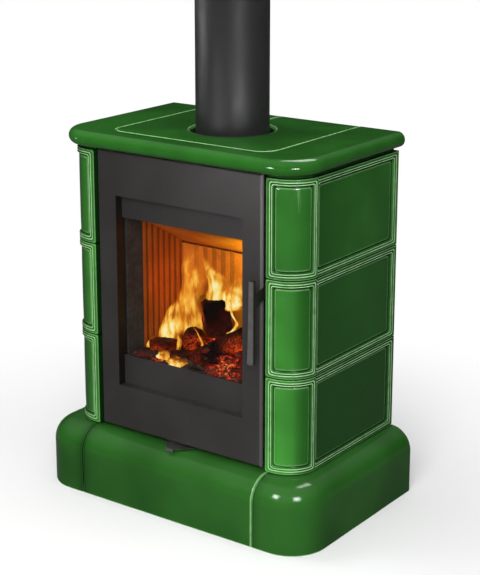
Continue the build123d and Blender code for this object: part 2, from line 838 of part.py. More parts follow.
def ash_pan():
    """An open sheet pan with a lip and a pull across its front."""
    y0 = door_face_y + pan_setback
    y1 = y0 + pan_length
    z0 = pan_floor_z + seat
    z1 = z0 + pan_height
    wall = pan_wall
    pan = block(-pan_half, pan_half, y0, y1, z0, z1)
    pan -= block(-pan_half + wall, pan_half - wall, y0 + wall, y1 - wall, z0 + wall, z1 + 1)
    pan += block(-pan_half, pan_half, y0 - pan_lip, y0, z1 - wall, z1)
    low = (z0 + z1 - pan_grip_height) / 2
    high = low + pan_grip_height
    half = pan_grip_width / 2
    bar_y = y0 - pan_grip
    pan += block(-half, half, bar_y, bar_y + pan_grip_bar, low, high)
    for side in both_sides(block(half - pan_grip_cheek, half, bar_y, y0, low, high)):
        pan += side
    return pan


save("air_box", air_box())
save("slide_guides", slide_guides())
save("air_slide", air_slide())
save("air_lever", air_lever())
save("ash_pan", ash_pan())


# ---------------------------------------------------------------- flue
def flue_spigot():
    """The collar on the firebox top that the flue pipe stands over."""
    height = pipe_bottom_z + spigot_engagement - firebox_top_z
    spigot = rod(0, flue_y, firebox_top_z, spigot_radius, height)
    spigot += rod(0, flue_y, firebox_top_z, flue_radius + spigot_flange, pipe_bottom_z - firebox_top_z)
    return spigot - rod(0, flue_y, firebox_top_z - 1, spigot_bore, height + 2)


def flue_pipe():
    """A standard pipe length with a widened socket at its top end."""
    socket_z = pipe_bottom_z + flue_length - flue_socket_length
    socket_bore = flue_radius + flue_fit
    pipe = rod(0, flue_y, pipe_bottom_z, flue_radius, flue_length - flue_socket_length)
    pipe += rod(0, flue_y, socket_z - 2 * flue_wall, socket_bore + flue_wall,
                flue_socket_length + 2 * flue_wall)
    pipe -= rod(0, flue_y, pipe_bottom_z - 1, bore_radius, flue_length)
    return pipe - rod(0, flue_y, socket_z, socket_bore, flue_socket_length + 1)


save("flue_spigot", flue_spigot())
save("flue_pipe", flue_pipe())


# ---------------------------------------------------------------- door
glass_half = opening_half + glass_overlap
glass_low = sill_z - glass_overlap
glass_high = lintel_z + glass_overlap


def door_plate():
    """The steel door front: a flat plate with the window's deep reveal behind it."""
    door = block(-door_half, door_half, door_face_y, door_back_y, door_bottom_z, door_top_z)
    door = fillet(door.faces().sort_by(Axis.Y)[0].edges(), door_edge_radius)
    out = opening_half + reveal_wall
    door += block(-out, out, door_back_y, inner_frame_y, window_bottom_z - reveal_wall,
                  window_top_z + reveal_wall)
    return door - block(-opening_half, opening_half, door_face_y - 1, inner_frame_y + 1, window_bottom_z,
                        window_top_z)


def channel_lip(inset, corner, y0, y1):
    """A thin rectangular ring with rounded corners, inset from the inner frame's edge."""
    rings = []
    for wall in (0, channel_wall):
        margin = inset + wall
        half = inner_half - margin
        solid = block(-half, half, y0 - wall, y1 + wall, inner_bottom_z + margin, inner_top_z - margin)
        rings.append(fillet(solid.edges().filter_by(Axis.Y), corner - wall))
    return rings[0] - rings[1]


def door_inner_frame():
    """The inner plate that carries the glass, with a channel for the sealing rope."""
    y1 = glass_bed_y
    frame = block(-inner_half, inner_half, inner_frame_y, y1, inner_bottom_z, inner_top_z)
    frame -= block(-opening_half, opening_half, inner_frame_y - 1, y1 + 1, sill_z, lintel_z)
    lip_y = y1 + rope_radius
    channel = rope_radius + seat
    outside = rope_inset - channel - channel_wall
    frame += channel_lip(outside, rope_corner + channel + channel_wall, y1 - 1, lip_y)
    return frame + channel_lip(rope_inset + channel, rope_corner - channel, y1 - 1, lip_y)


def rope_ring():
    """The round sealing rope, one closed loop with rounded corners."""
    half = inner_half - rope_inset
    height = inner_top_z - inner_bottom_z - 2 * rope_inset
    middle_z = (inner_top_z + inner_bottom_z) / 2
    plane = Plane(origin=(0, rope_y, middle_z), x_dir=(1, 0, 0), z_dir=(0, -1, 0))
    path = (plane * RectangleRounded(2 * half, height, rope_corner)).face().outer_wire()
    start = Plane(origin=path @ 0, z_dir=path % 0)
    return sweep(start * Circle(rope_radius), path=path)


def glass_tape_ring():
    width = glass_tape_width
    tape = block(-glass_half, glass_half, glass_bed_y, glass_front_y, glass_low, glass_high)
    return tape - block(-glass_half + width, glass_half - width, glass_bed_y - 1, glass_back_y,
                        glass_low + width, glass_high - width)


def glass_clip():
    """A stepped clip above the glass: its foot stands on the inner frame, its lip holds the glass."""
    y1 = glass_back_y + clip_lip
    foot = block(-clip_width / 2, clip_width / 2, glass_bed_y, y1, seat, clip_foot)
    lip = block(-clip_width / 2, clip_width / 2, glass_back_y, y1, -clip_foot, clip_foot)
    screw_z = (clip_foot + seat) / 2
    return foot + lip - rod(0, glass_bed_y - 1, screw_z, clip_screw_radius + stud_clearance, 20, "Y")


def clip_screw():
    y1 = glass_back_y + clip_lip
    screw_z = (clip_foot + seat) / 2
    head = rod(0, y1, screw_z, 2 * clip_screw_radius, 1, "Y")
    return head + rod(0, glass_bed_y, screw_z, clip_screw_radius, y1 - glass_bed_y, "Y")


def along_glass(piece):
    """Copies of a piece along the glass, three above it and three below."""
    upturned = mirror(piece, Plane.XY)
    places = [share * glass_half for share in (-0.7, 0, 0.7)]
    return [Pos(x, 0, glass_high) * piece for x in places] + [Pos(x, 0, glass_low) * upturned for x in places]


save("door_plate", door_plate())
save("door_inner_frame", door_inner_frame())
save("glass", block(-glass_half, glass_half, glass_front_y, glass_back_y, glass_low, glass_high))
save("glass_tape", glass_tape_ring())
save("glass_clips", along_glass(glass_clip()))
save("clip_screws", along_glass(clip_screw()))
save("door_rope", rope_ring())


# ---------------------------------------------------------------- hinges
hinge_levels = (door_bottom_z + hinge_clear_bottom, door_top_z - hinge_clear_top)
pin_bore = hinge_pin_radius + running_clearance


def hinge_bracket(z):
    """A tab on the steel front that carries one hinge pin."""
    tab = rod(hinge_x, hinge_y, z, hinge_boss, hinge_tab)
    tab += block(hinge_x - hinge_arm_in, hinge_x + hinge_arm_out, hinge_y, frame_face_y, z, z + hinge_tab)
    return tab - rod(hinge_x, hinge_y, z - 1, pin_bore, hinge_tab + 2)


def hinge_pin(z):
    """A headed pin that stands up through the bracket into the door's lug."""
    length = sheet + hinge_tab + seat + hinge_lug_height
    pin = rod(hinge_x, hinge_y, z - sheet, hinge_pin_radius, length)
    return pin + rod(hinge_x, hinge_y, z - sheet, hinge_boss, sheet)


def door_lug(z):
    """A lug behind the door plate with the bore that turns on the pin."""
    z0 = z + hinge_tab + seat
    r = hinge_lug_radius
    lug = block(hinge_x - r, hinge_x + r, door_back_y, hinge_y, z0, z0 + hinge_lug_height)
    lug += rod(hinge_x, hinge_y, z0, r, hinge_lug_height)
    return lug - rod(hinge_x, hinge_y, z0 - 1, pin_bore, hinge_lug_height + 2)


save("hinge_brackets", [hinge_bracket(z) for z in hinge_levels])
save("hinge_pins", [hinge_pin(z) for z in hinge_levels])
save("door_lugs", [door_lug(z) for z in hinge_levels])


# ---------------------------------------------------------------- handle and latch
cheek_out = door_half - seat
cheek_in = cheek_out - cheek
lever_out = lever_x + handle_plate
claw_y = pivot_y + claw_reach
claw_z = pivot_z - claw_drop
roller_z = claw_z - claw_radius - roller_radius - roller_gap
pivot_bore = pivot_pin_radius + running_clearance


def handle_bracket():
    """The cheek behind the door's right edge that carries the lever's pivot pin."""
    low = pivot_z - pivot_boss - plate
    high = pivot_z + pivot_boss + plate
    bracket = block(cheek_in, cheek_out, door_back_y, pivot_y + cheek_reach, low, high)
    bracket += block(cheek_in - cheek_foot, cheek_out, door_back_y, door_back_y + plate, low, high)
    return bracket - rod(cheek_in - 1, pivot_y, pivot_z, pivot_bore, cheek + 2, "X")


def pivot_pin():
    """A pin with a head outside the lever and a collar inside the cheek."""
    inner_x = cheek_in - plate
    head_x = lever_out + seat
    pin = rod(inner_x, pivot_y, pivot_z, pivot_pin_radius, head_x + sheet - inner_x, "X")
    pin += rod(head_x, pivot_y, pivot_z, pivot_head, sheet, "X")
    return pin + rod(inner_x, pivot_y, pivot_z, pivot_head, plate - seat, "X")


def handle_lever():
    """The lever plate beside the door: an arm to the grip, a pivot boss and a claw."""
    low = pivot_z - arm_drop - arm_height / 2
    high = pivot_z - arm_drop + arm_height / 2
    arm = prism([(grip_y, low), (pivot_y, pivot_z - pivot_boss + 1), (pivot_y, pivot_z + pivot_boss - 1),
                 (grip_y, high)], lever_x, lever_out)
    arm += rod(lever_x, pivot_y, pivot_z, pivot_boss, handle_plate, "X")
    arm += prism([(pivot_y - 5, pivot_z), (pivot_y + 8, pivot_z), (claw_y + claw_radius, claw_z),
                  (claw_y - claw_radius, claw_z)], lever_x, lever_out)
    arm += rod(lever_x, claw_y, claw_z, claw_radius, handle_plate, "X")
    return arm - rod(lever_x - 1, pivot_y, pivot_z, pivot_bore, handle_plate + 2, "X")


def handle_grip():
    """The flat grip bar, a little wider at its foot, with a bevelled lower end."""
    top = pivot_z + grip_rise
    foot = top - grip_length
    corners = [(lever_out - grip_width_top, top), (lever_out, top), (lever_out, foot + grip_bevel),
               (lever_out - grip_bevel, foot), (lever_out - grip_width_bottom + grip_bevel, foot),
               (lever_out - grip_width_bottom, foot + grip_bevel)]
    face = make_face(Polyline([(x, grip_y, z) for x, z in corners], close=True))
    bar = extrude(face, grip_thickness, dir=(0, -1, 0))
    return chamfer(bar.faces().sort_by(Axis.Y)[0].edges(), grip_edge)


def latch_post():
    """The post on the steel front that carries the latch roller on its axle."""
    half = roller_radius + latch_post_margin
    post = block(cheek_in, cheek_out, claw_y - half, frame_face_y, roller_z - half, roller_z + half)
    return post + rod(cheek_out, claw_y, roller_z, roller_axle, lever_out + sheet - cheek_out, "X")


def latch_roller():
    roller = rod(lever_x - seat, claw_y, roller_z, roller_radius, handle_plate + 2 * seat, "X")
    return roller - rod(lever_x - 1, claw_y, roller_z, roller_axle + running_clearance, handle_plate + 2, "X")


save("handle_bracket", handle_bracket())
save("pivot_pin", pivot_pin())
save("handle_lever", handle_lever())
save("handle_grip", handle_grip())
save("latch_post", latch_post())
save("latch_roller", latch_roller())
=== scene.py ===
import math
import random

import bmesh
import bpy
from mathutils import Euler, Matrix, Vector, noise


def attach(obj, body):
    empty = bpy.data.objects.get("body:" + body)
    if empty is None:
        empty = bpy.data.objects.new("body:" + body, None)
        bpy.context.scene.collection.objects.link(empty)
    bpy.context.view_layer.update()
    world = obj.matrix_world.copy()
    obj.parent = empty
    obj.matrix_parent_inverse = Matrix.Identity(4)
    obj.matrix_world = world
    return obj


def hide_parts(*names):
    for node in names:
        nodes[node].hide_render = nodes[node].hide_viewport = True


# Lengths are in metres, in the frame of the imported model: +Z is up and the door faces -Y.

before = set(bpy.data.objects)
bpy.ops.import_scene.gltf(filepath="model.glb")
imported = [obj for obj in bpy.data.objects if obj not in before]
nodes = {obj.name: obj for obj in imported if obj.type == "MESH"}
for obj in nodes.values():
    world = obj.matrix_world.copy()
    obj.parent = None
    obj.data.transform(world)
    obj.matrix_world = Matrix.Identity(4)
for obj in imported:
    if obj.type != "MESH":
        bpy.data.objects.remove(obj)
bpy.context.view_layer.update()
scene = bpy.context.scene


# ---------------------------------------------------------------- materials
class Nodes:
    """A node tree, with short calls that add nodes to it."""

    def __init__(self, tree):
        self.tree = tree

    def feed(self, socket, value):
        """Links an output to a socket, or sets the socket to a plain value."""
        if isinstance(value, bpy.types.NodeSocket):
            self.tree.links.new(value, socket)
        else:
            socket.default_value = value

    def add(self, kind, inputs, **settings):
        """Adds a node, feeds its inputs and gives back its outputs."""
        made = self.tree.nodes.new(kind)
        for name, value in settings.items():
            setattr(made, name, value)
        for name, value in inputs.items():
            self.feed(made.inputs[name], value)
        return made.outputs

    def axes(self, vector):
        """The outputs X, Y and Z of a vector."""
        return self.add("ShaderNodeSeparateXYZ", {"Vector": vector})

    def between(self, value, low, high, start=0.0, end=1.0, way="SMOOTHSTEP"):
        """Maps a value from low..high to start..end."""
        limits = {"From Min": low, "From Max": high, "To Min": start, "To Max": end}
        return self.add("ShaderNodeMapRange", {"Value": value, **limits}, interpolation_type=way)["Result"]

    def math(self, operation, first, second=0.0):
        return self.add("ShaderNodeMath", {0: first, 1: second}, operation=operation)["Value"]

    def times(self, first, second):
        return self.math("MULTIPLY", first, second)

    def blend(self, share, first, second):
        """Goes from the first shader to the second as the share rises."""
        return self.add("ShaderNodeMixShader", {0: share, 1: first, 2: second})["Shader"]


class Shader(Nodes):
    """A material with one Principled surface, and the textures that drive it."""

    def __init__(self, name, roughness=0.5, metallic=0.0, specular=0.5):
        self.material = bpy.data.materials.new(name)
        self.material.use_nodes = True
        super().__init__(self.material.node_tree)
        self.surface = self.tree.nodes["Principled BSDF"]
        self.drive("Roughness", roughness)
        self.drive("Metallic", metallic)
        self.drive("Specular IOR Level", specular)
        coordinates = self.add("ShaderNodeTexCoord", {})
        self.place = coordinates["Object"]
        self.normal = coordinates["Normal"]

    def drive(self, name, value):
        self.feed(self.surface.inputs[name], value)

    def stretched(self, x, y, z):
        """The object's coordinates, scaled along each axis."""
        return self.add("ShaderNodeMapping", {"Vector": self.place, "Scale": (x, y, z)})["Vector"]

    def noise(self, scale, detail, place=None):
        inputs = {"Vector": place or self.place, "Scale": scale, "Detail": detail}
        return self.add("ShaderNodeTexNoise", inputs)["Fac"]

    def painted(self, name):
        """A value that the mesh carries at each vertex."""
        return self.add("ShaderNodeAttribute", {}, attribute_name=name)["Fac"]

    def mix(self, share, first, second):
        """Goes from the first colour to the second as the share rises."""
        inputs = {"Factor": share, "A": first, "B": second}
        return self.add("ShaderNodeMix", inputs, data_type="RGBA")["Result"]

    def ramp(self, share, stops):
        """A colour along (place, colour) stops, of which the first is at 0 and the last at 1."""
        made = self.tree.nodes.new("ShaderNodeValToRGB")
        self.feed(made.inputs["Fac"], share)
        elements = made.color_ramp.elements
        elements[0].color, elements[1].color = stops[0][1], stops[-1][1]
        for place, colour in stops[1:-1]:
            elements.new(place).color = colour
        return made.outputs["Color"]

    def bump(self, height, depth, below=None):
        """A height map whose full range is depth metres, laid over another bump."""
        inputs = {"Strength": 1.0, "Distance": depth, "Height": height}
        if below is not None:
            inputs["Normal"] = below
        return self.add("ShaderNodeBump", inputs)["Normal"]

    def roughen(self, scale, detail, low, high):
        """Lets the roughness drift between low and high over the surface."""
        self.drive("Roughness", self.between(self.noise(scale, detail), 0.3, 0.7, low, high))

    def grain(self, scale, detail, depth):
        """Gives the whole surface an even grain, depth metres deep."""
        self.drive("Normal", self.bump(self.noise(scale, detail), depth))


def rgb(red, green, blue):
    """A colour written in 0..255 display values, as the shader's linear colour."""
    def linear(level):
        share = level / 255
        return share / 12.92 if share <= 0.04045 else ((share + 0.055) / 1.055) ** 2.4
    return (linear(red), linear(green), linear(blue), 1.0)


BLACK = (0, 0, 0, 1)
WHITE = (1, 1, 1, 1)
# Pooled glaze, darkened further as painted shade.
POOLED_GLAZE_AND_SHADE = rgb(8, 38, 8)
# Painted shade on the sides of the door window's recess.
DOOR_RECESS_SHADE = rgb(20, 18, 16)
# A painted highlight along the door's closing edge.
DOOR_EDGE_HIGHLIGHT = rgb(92, 90, 89)
DOOR_HALF = 0.217         # half the door's width
CHAMBER_HALF = 0.1675     # half the fire chamber's width
LINING_REAR_Y = 0.0687    # the face of the chamber's rear lining


def glaze(name, deep, body, pale):
    """Poured green glaze: cloudy, pooled dark in the hollows and thin and pale over the edges, with painted
    shade and light.
    """
    made = Shader(name, specular=0.3)
    clouds = made.between(made.noise(5, 2), 0.3, 0.7, 0.45, 1.0)
    # The tone on the glaze is painted shade and light, set for each tile and along it.
    colour = made.mix(made.times(made.painted("painted_shade"), clouds), deep, body)
    speckle = made.between(made.noise(420, 2), 0.62, 0.75, 0, 0.2)
    colour = made.mix(speckle, colour, deep)
    # The dark pools are partly pooled glaze and partly painted shade in grooves, gaps and on the tiles'
    # sides.
    colour = made.mix(made.painted("pool_and_shade"), colour, POOLED_GLAZE_AND_SHADE)
    patches = made.between(made.noise(60, 4), 0.25, 0.6, 0.6, 1.0)
    made.drive("Base Color", made.mix(made.times(made.painted("thin"), patches), colour, pale))
    made.roughen(35, 3, 0.06, 0.16)
    waves = made.bump(made.noise(16, 1), 0.0005)
    made.drive("Normal", made.bump(made.noise(180, 2), 0.00006, waves))
    return made.material


def mottled(name, specular, first, second, clouds, rough, grain, marks=None):
    """A dull material of two colours in clouds, over which marks can paint more.

    Clouds and rough are a noise's scale, detail and two limits, and grain has a depth instead.
    """
    made = Shader(name, specular=specular)
    scale, detail, low, high = clouds
    tint = made.mix(made.between(made.noise(scale, detail), low, high), first, second)
    made.drive("Base Color", marks(made, tint) if marks else tint)
    made.roughen(*rough)
    made.grain(*grain)
    return made.material


def paint(name, first, second, roughness, marks=None):
    """Matt stove paint over steel."""
    rough = (25, 4, roughness - 0.06, roughness + 0.06)
    return mottled(name, 0.35, first, second, (7, 5, 0.35, 0.7), rough, (900, 2, 0.00006), marks)


def door_shade_and_highlight(made, tint):
    """Painted shade on the sides of the window's cut in the door, and a paler closing edge that is a painted
    highlight.
    """
    place = made.axes(made.place)
    across = made.math("ABSOLUTE", place["X"])
    within = made.between(across, DOOR_HALF - 0.008, DOOR_HALF - 0.006, 1, 0)
    cut = made.between(made.math("ABSOLUTE", made.axes(made.normal)["X"]), 0.3, 0.7)
    # Painted shade on the faces cut into the door round the window.
    tint = made.mix(made.times(within, cut), tint, DOOR_RECESS_SHADE)
    # A painted highlight along the closing edge, stronger higher up.
    edge = made.times(made.between(place["X"], DOOR_HALF - 0.007, DOOR_HALF - 0.004),
                      made.between(place["X"], DOOR_HALF, DOOR_HALF + 0.001, 1, 0))
    highlight_strength = made.between(place["Z"], 0.3, 0.7, 0.45, 0.85)
    return made.mix(made.times(edge, highlight_strength), tint, DOOR_EDGE_HIGHLIGHT)


def front_lit_paint(name, colour, painted_light_colour, roughness):
    """Black paint on the handle, with painted light: paler in patches on the faces that point to the front.
    """
    made = Shader(name, specular=0.15)
    # Painted light on the faces that point to the front.
    front = made.between(made.axes(made.normal)["Y"], -0.9, -0.5, 1, 0)
    patches = made.between(made.noise(60, 4), 0.3, 0.7, 0.75, 1.0)
    made.drive("Base Color", made.mix(made.times(front, patches), colour, painted_light_colour))
    made.roughen(40, 4, roughness - 0.06, roughness + 0.06)
    made.grain(900, 2, 0.00004)
    return made.material


def bare_steel(name, colour, roughness):
    """Bright steel with rolling marks along X."""
    made = Shader(name, metallic=1.0)
    dull = made.between(made.noise(14, 4), 0.35, 0.65)
    made.drive("Base Color", made.mix(dull, colour, rgb(126, 124, 120)))
    marks = made.noise(1, 4, made.stretched(30, 900, 900))
    made.drive("Roughness", made.between(marks, 0.3, 0.7, roughness - 0.1, roughness + 0.1))
    made.drive("Normal", made.bump(marks, 0.00002))
    return made.material


def fire_brick(name):
    """Pressed vermiculite board in flakes, sooty in clouds, with painted shade in the grooves, and redder at
    the side walls.
    """
    made = Shader(name, specular=0.15)
    cells = made.add("ShaderNodeTexVoronoi", {"Vector": made.place, "Scale": 260})["Distance"]
    flakes = made.between(cells, 0.1, 0.5)
    colour = made.mix(flakes, rgb(206, 128, 52), rgb(188, 108, 38))
    soot = made.between(made.noise(8, 4), 0.42, 0.75, 0, 0.6)
    colour = made.mix(soot, colour, rgb(92, 54, 24))
    place = made.axes(made.place)
    beside = made.math("ABSOLUTE", place["X"])
    walls = made.between(beside, CHAMBER_HALF - 0.004, CHAMBER_HALF - 0.002, 0, 0.6)
    colour = made.mix(walls, colour, rgb(150, 60, 6))
    # Painted shade in the grooves of the side and rear linings.
    groove_shade = made.math("MAXIMUM", made.between(beside, CHAMBER_HALF, CHAMBER_HALF + 0.002, 0, 0.5),
                        made.between(place["Y"], LINING_REAR_Y, LINING_REAR_Y + 0.002, 0, 0.35))
    made.drive("Base Color", made.mix(groove_shade, colour, rgb(40, 20, 8)))
    made.drive("Roughness", made.between(flakes, 0, 1, 0.8, 0.95))
    made.grain(500, 3, 0.00015)
    return made.material


def sealing(name):
    """Braided glass-fibre rope and tape."""
    made = Shader(name, specular=0.2)
    strands = made.add("ShaderNodeTexWave", {"Vector": made.place, "Scale": 160, "Distortion": 1.5},
                       wave_type="BANDS", bands_direction="DIAGONAL")["Fac"]
    made.drive("Base Color", made.mix(strands, rgb(92, 88, 82), rgb(188, 184, 174)))
    made.drive("Roughness", made.between(strands, 0, 1, 0.95, 0.8))
    made.drive("Normal", made.bump(strands, 0.0006))
    return made.material


def felt(name):
    """Dark green fibre felt whose dark colour is painted shade: strips under the slab and a ring round the
    flue.
    """
    made = Shader(name, specular=0.1)
    fibres = made.noise(1, 4, made.stretched(300, 300, 900))
    made.drive("Base Color", made.mix(fibres, rgb(18, 56, 16), rgb(34, 84, 30)))
    made.drive("Roughness", made.between(fibres, 0, 1, 0.9, 1.0))
    made.drive("Normal", made.bump(fibres, 0.0005))
    return made.material


def fire_glass(name):
    """Ceramic glass: clear, very slightly brown, with a film of ash in clouds."""
    made = Shader(name)
    film = made.between(made.noise(6, 5), 0.35, 0.75, 0.01, 0.05)
    made.drive("Base Color", made.mix(film, rgb(30, 24, 20), rgb(120, 110, 100)))
    made.drive("Alpha", film)
    made.roughen(40, 3, 0.02, 0.07)
    return made.material


finishes = {
    "tile_glaze": glaze("tile glaze", rgb(22, 70, 18), rgb(64, 140, 52), rgb(182, 228, 170)),
    "plinth_glaze": glaze("plinth glaze", rgb(20, 58, 16), rgb(42, 94, 34), rgb(140, 196, 128)),
    "slab_glaze": glaze("slab glaze", rgb(22, 64, 16), rgb(44, 107, 35), rgb(160, 210, 148)),
    "door_paint": paint("door paint", rgb(45, 42, 42), rgb(51, 48, 48), 0.55, door_shade_and_highlight),
    "handle_steel": front_lit_paint("handle paint", rgb(31, 26, 27), rgb(86, 84, 83), 0.4),
    "flue_paint": paint("flue paint", rgb(36, 36, 36), rgb(40, 40, 40), 0.5),
    "carcass_steel": paint("carcass paint", rgb(34, 34, 35), rgb(46, 45, 44), 0.6),
    "bright_steel": bare_steel("bright steel", rgb(178, 178, 176), 0.35),
    "casting": mottled("cast iron", 0.3, rgb(44, 43, 42), rgb(54, 52, 50), (30, 5, 0.4, 0.7),
                       (90, 3, 0.55, 0.85), (700, 3, 0.0001)),
    "window_glass": fire_glass("fire glass"),
    "fire_brick": fire_brick("fire brick"),
    "sealing": sealing("glass fibre"),
}

for node in nodes.values():
    for slot in node.material_slots:
        slot.material = finishes[slot.material.name]
# The felt under the slab and round the flue is coloured as the shade in those gaps.
shade_dark_felt = felt("green felt")
nodes["slab_bedding"].material_slots[0].material = shade_dark_felt


# ---------------------------------------------------------------- meshes
FORWARDS = Vector((0, -1, 0))
RIGHTWARDS = Vector((1, 0, 0))


def eased(keys, at):
    """The value at a place along (place, value) keys, eased from each key to the next."""
    for (start, first), (end, last) in zip(keys, keys[1:]):
        if at <= end:
            share = max(at - start, 0) / (end - start)
            return first + (last - first) * share * share * (3 - 2 * share)
    return keys[-1][1]


def peak(at, middle, reach):
    """1 at the middle, and down to 0 at reach on either side of it."""
    return max(1 - abs(at - middle) / reach, 0)


def wavy(point, size, depth):
    """A smooth unevenness between 0 and depth, in swells of about the given size."""
    return (noise.noise(Vector(point) / size) + 1) / 2 * depth


def raised(point, height):
    return point + Vector((0, 0, height))


def quarter(steps):
    """Angles from 0 to a quarter turn."""
    return [math.pi / 2 * part / steps for part in range(steps + 1)]


def skin(rows, closed=False):
    """Quads between rows of points, each row joined to the next, and closed round each row or open."""
    count = len(rows[0])
    faces = []
    for row in range(len(rows) - 1):
        for column in range(count if closed else count - 1):
            corner = row * count + column
            beside = row * count + (column + 1) % count
            faces.append((corner, beside, beside + count, corner + count))
    return faces


def capped(sections):
    """Faces of a closed skin over a row of closed outlines, with a cap at each end."""
    count = len(sections[0])
    last = (len(sections) - 1) * count
    caps = [tuple(reversed(range(count))), tuple(range(last, last + count))]
    return skin(sections, closed=True) + caps


def flat(rows):
    return [point for row in rows for point in row]


def linked(name, data):
    made = bpy.data.objects.new(name, data)
    scene.collection.objects.link(made)
    return made


def piece(name, points, faces, finish, painted=None, sharp=50):
    """A piece of the stove from points and faces, with the values painted on its points.

    Edges are sharp where the faces beside them turn by more than the given degrees.
    """
    mesh = bpy.data.meshes.new(name)
    mesh.from_pydata(points, [], faces)
    for label, values in (painted or {}).items():
        mesh.attributes.new(label, "FLOAT", "POINT").data.foreach_set("value", values)
    work = bmesh.new()
    work.from_mesh(mesh)
    bmesh.ops.remove_doubles(work, verts=work.verts, dist=1e-6)
    bmesh.ops.recalc_face_normals(work, faces=work.faces)
    work.to_mesh(mesh)
    work.free()
    mesh.materials.append(finish)
    mesh.shade_smooth()
    mesh.set_sharp_from_angle(angle=math.radians(sharp))
    made = linked(name, mesh)
    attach(made, "stove")
    return made


def glazed(node, points, faces, slot, thin, pool_and_shade=None, painted_shades=None, side=1, sharp=50):
    """A glazed piece that takes a CAD node's place, mirrored where side is -1.

    Thin is how worn the glaze is at each point; the pools are deep glaze and painted shade, and the tones
    are painted shade and light.
    """
    painted = {"thin": thin, "pool_and_shade": pool_and_shade or [0.0] * len(points), "painted_shade": painted_shades or [1.0] * len(points)}
    points = [(x * side, y, z) for x, y, z in points]
    made = piece("glazed_" + node, points, faces, finishes[slot], painted, sharp)
    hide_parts(node)


# ---------------------------------------------------------------- tiles
TILE_HEIGHT = 0.208
TILE_PITCH = 0.2095
TILES_BOTTOM = 0.1495
TILE_BACK = 0.030
TILE_SHELL = 0.014
TILE_RIM = 0.010
RIM_SLACK = 0.0002       # how far short of its width the back's rim may end
BODY_HALF = 0.309
CORNER_RADIUS = 0.067
CORNER_FLAT = 0.016
CORNER_LENGTH = CORNER_FLAT + CORNER_RADIUS * math.pi / 2
CORNER_X = 0.242
CORNER_Y = -0.096
SIDE_TILE_Y = -0.0945
BACK_Y = 0.219
TILE_SWELLS = (0.07, 0.00015)  # size and depth of the handmade unevenness

# The moulding is in millimetres, in from the tile's edge and down from its face.
MM = 1000
MOULDING = [
    (0, 1.6), (1.5, 0.2), (2.8, 0.5), (4.0, 0.9), (5.2, 0.7), (6.2, 0.1), (8.2, 0.1),
    (9.2, 1.7), (9.8, 2.1), (10.4, 1.7), (11.3, 0.1), (13.2, 0.1), (14.4, 5.2), (16.6, 6.2),
    (18.4, 4.3), (19.8, 3.8), (60, 3.3),
]
MOULDING_PLACES = [      # where the face has points across the moulding
    0, 0.6, 1.5, 2.1, 2.8, 4.0, 5.2, 5.7, 6.2, 6.7, 7.2, 7.7, 8.2, 8.7, 9.2, 9.8, 10.4, 10.8, 11.3,
    11.8, 12.25, 12.7, 13.2, 13.8, 14.4, 15.2, 16, 16.8, 17.6, 18.4, 19.2, 19.8, 22, 28, 36,
]
OUTER_LIP = 1.5
OUTER_BEAD = 7.2
BEAD_GAP = 9.8
INNER_BEAD = 12.25
GROOVE = 16
PANEL_EDGE = 19.2
MARGIN_PLACE = 4.0       # where a wider margin is let into the moulding
MOULDING_ROUNDING = 6    # at the frame's corners
CORNER_MARGIN = 2        # more margin at the corner tile's edge beside the door
SIDE_MARGIN = -14        # the side tile's frame is cut off where it meets the corner tile
SMALLEST_STEP = 0.3      # between the cut edge and the next points
REAR_SPREAD = 1.5        # how much wider the moulding is along the side tile's rear edge
LEVEL_BORDER = 9         # from here to the edge the handmade unevenness fades

# Painted shade and light: how light the glaze of the corner and side tiles is painted in each row.
ROW_PAINTED_SHADES = [(1.0, 0.02), (0.87, 0.2), (0.55, 0.45)]  # of the corner and side tiles, from the lowest row up
# Painted shade along the side tiles, darker towards their front.
SIDE_PAINTED_SHADE = [(0.05, 0.35), (0.6, 1.0)]
# Painted shade round each corner tile, and painted light where the tone is above 1.
CORNER_PAINTED_SHADES = {        # how the glaze darkens round each corner tile, as (share of its length, tone)
    "left": [[(0.14, 1.0), (0.4, 0.15)], [(0.14, 1.0), (0.45, 0.15)], [(0.14, 1.1), (0.5, 0.4)]],
    "right": [[(0.25, 1.3), (0.45, 1.0), (0.7, 0.25)], [(0.25, 1.2), (0.45, 1.0), (0.7, 0.25)],
              [(0.3, 1.05), (0.8, 0.8)]],
}


def stations(length, step, margin=0, spread=1):
    """Places along a tile's side: close together across the moulding, and wide across the panel."""
    shifted = [place + margin for place in MOULDING_PLACES]
    if margin < 0:
        first = [0] + [place for place in shifted if place > SMALLEST_STEP]
    else:
        first = [place for place in MOULDING_PLACES if place < MARGIN_PLACE]
        first += [place for place in shifted if place >= MARGIN_PLACE + margin]
    start = [place / MM for place in first]
    end = [length - place * spread / MM for place in reversed(MOULDING_PLACES)]
    middle = end[0] - start[-1]
    count = max(round(middle / step), 1)
    panel = [start[-1] + middle * part / count for part in range(1, count)]
    return start + panel + end


def inset_in(length, along, up, margin, spread):
    """Millimetres in from a tile's nearest edge, with the frame's corners rounded."""
    first = along * MM - margin
    if margin > 0:
        first = min(along * MM, max(first, MARGIN_PLACE))
    across = min(first, (length - along) * MM / spread)
    rise = min(up, TILE_HEIGHT - up) * MM
    blend = max(1 - abs(across - rise) / MOULDING_ROUNDING, 0)
    return max(min(across, rise) - blend * blend * MOULDING_ROUNDING / 4, 0)


def glaze_on_moulding(inset):
    """How thin the glaze is over beads and, more faintly, edges, and how dark it is between them, from
    pooled glaze and painted shade.
    """
    beads = max(peak(inset, OUTER_BEAD, 1.5), peak(inset, INNER_BEAD, 1.2))
    edges = 0.35 * max(peak(inset, OUTER_LIP, 1.2), peak(inset, PANEL_EDGE, 1.2))
    return max(beads, edges), max(peak(inset, GROOVE, 2.6), peak(inset, BEAD_GAP, 1.4))


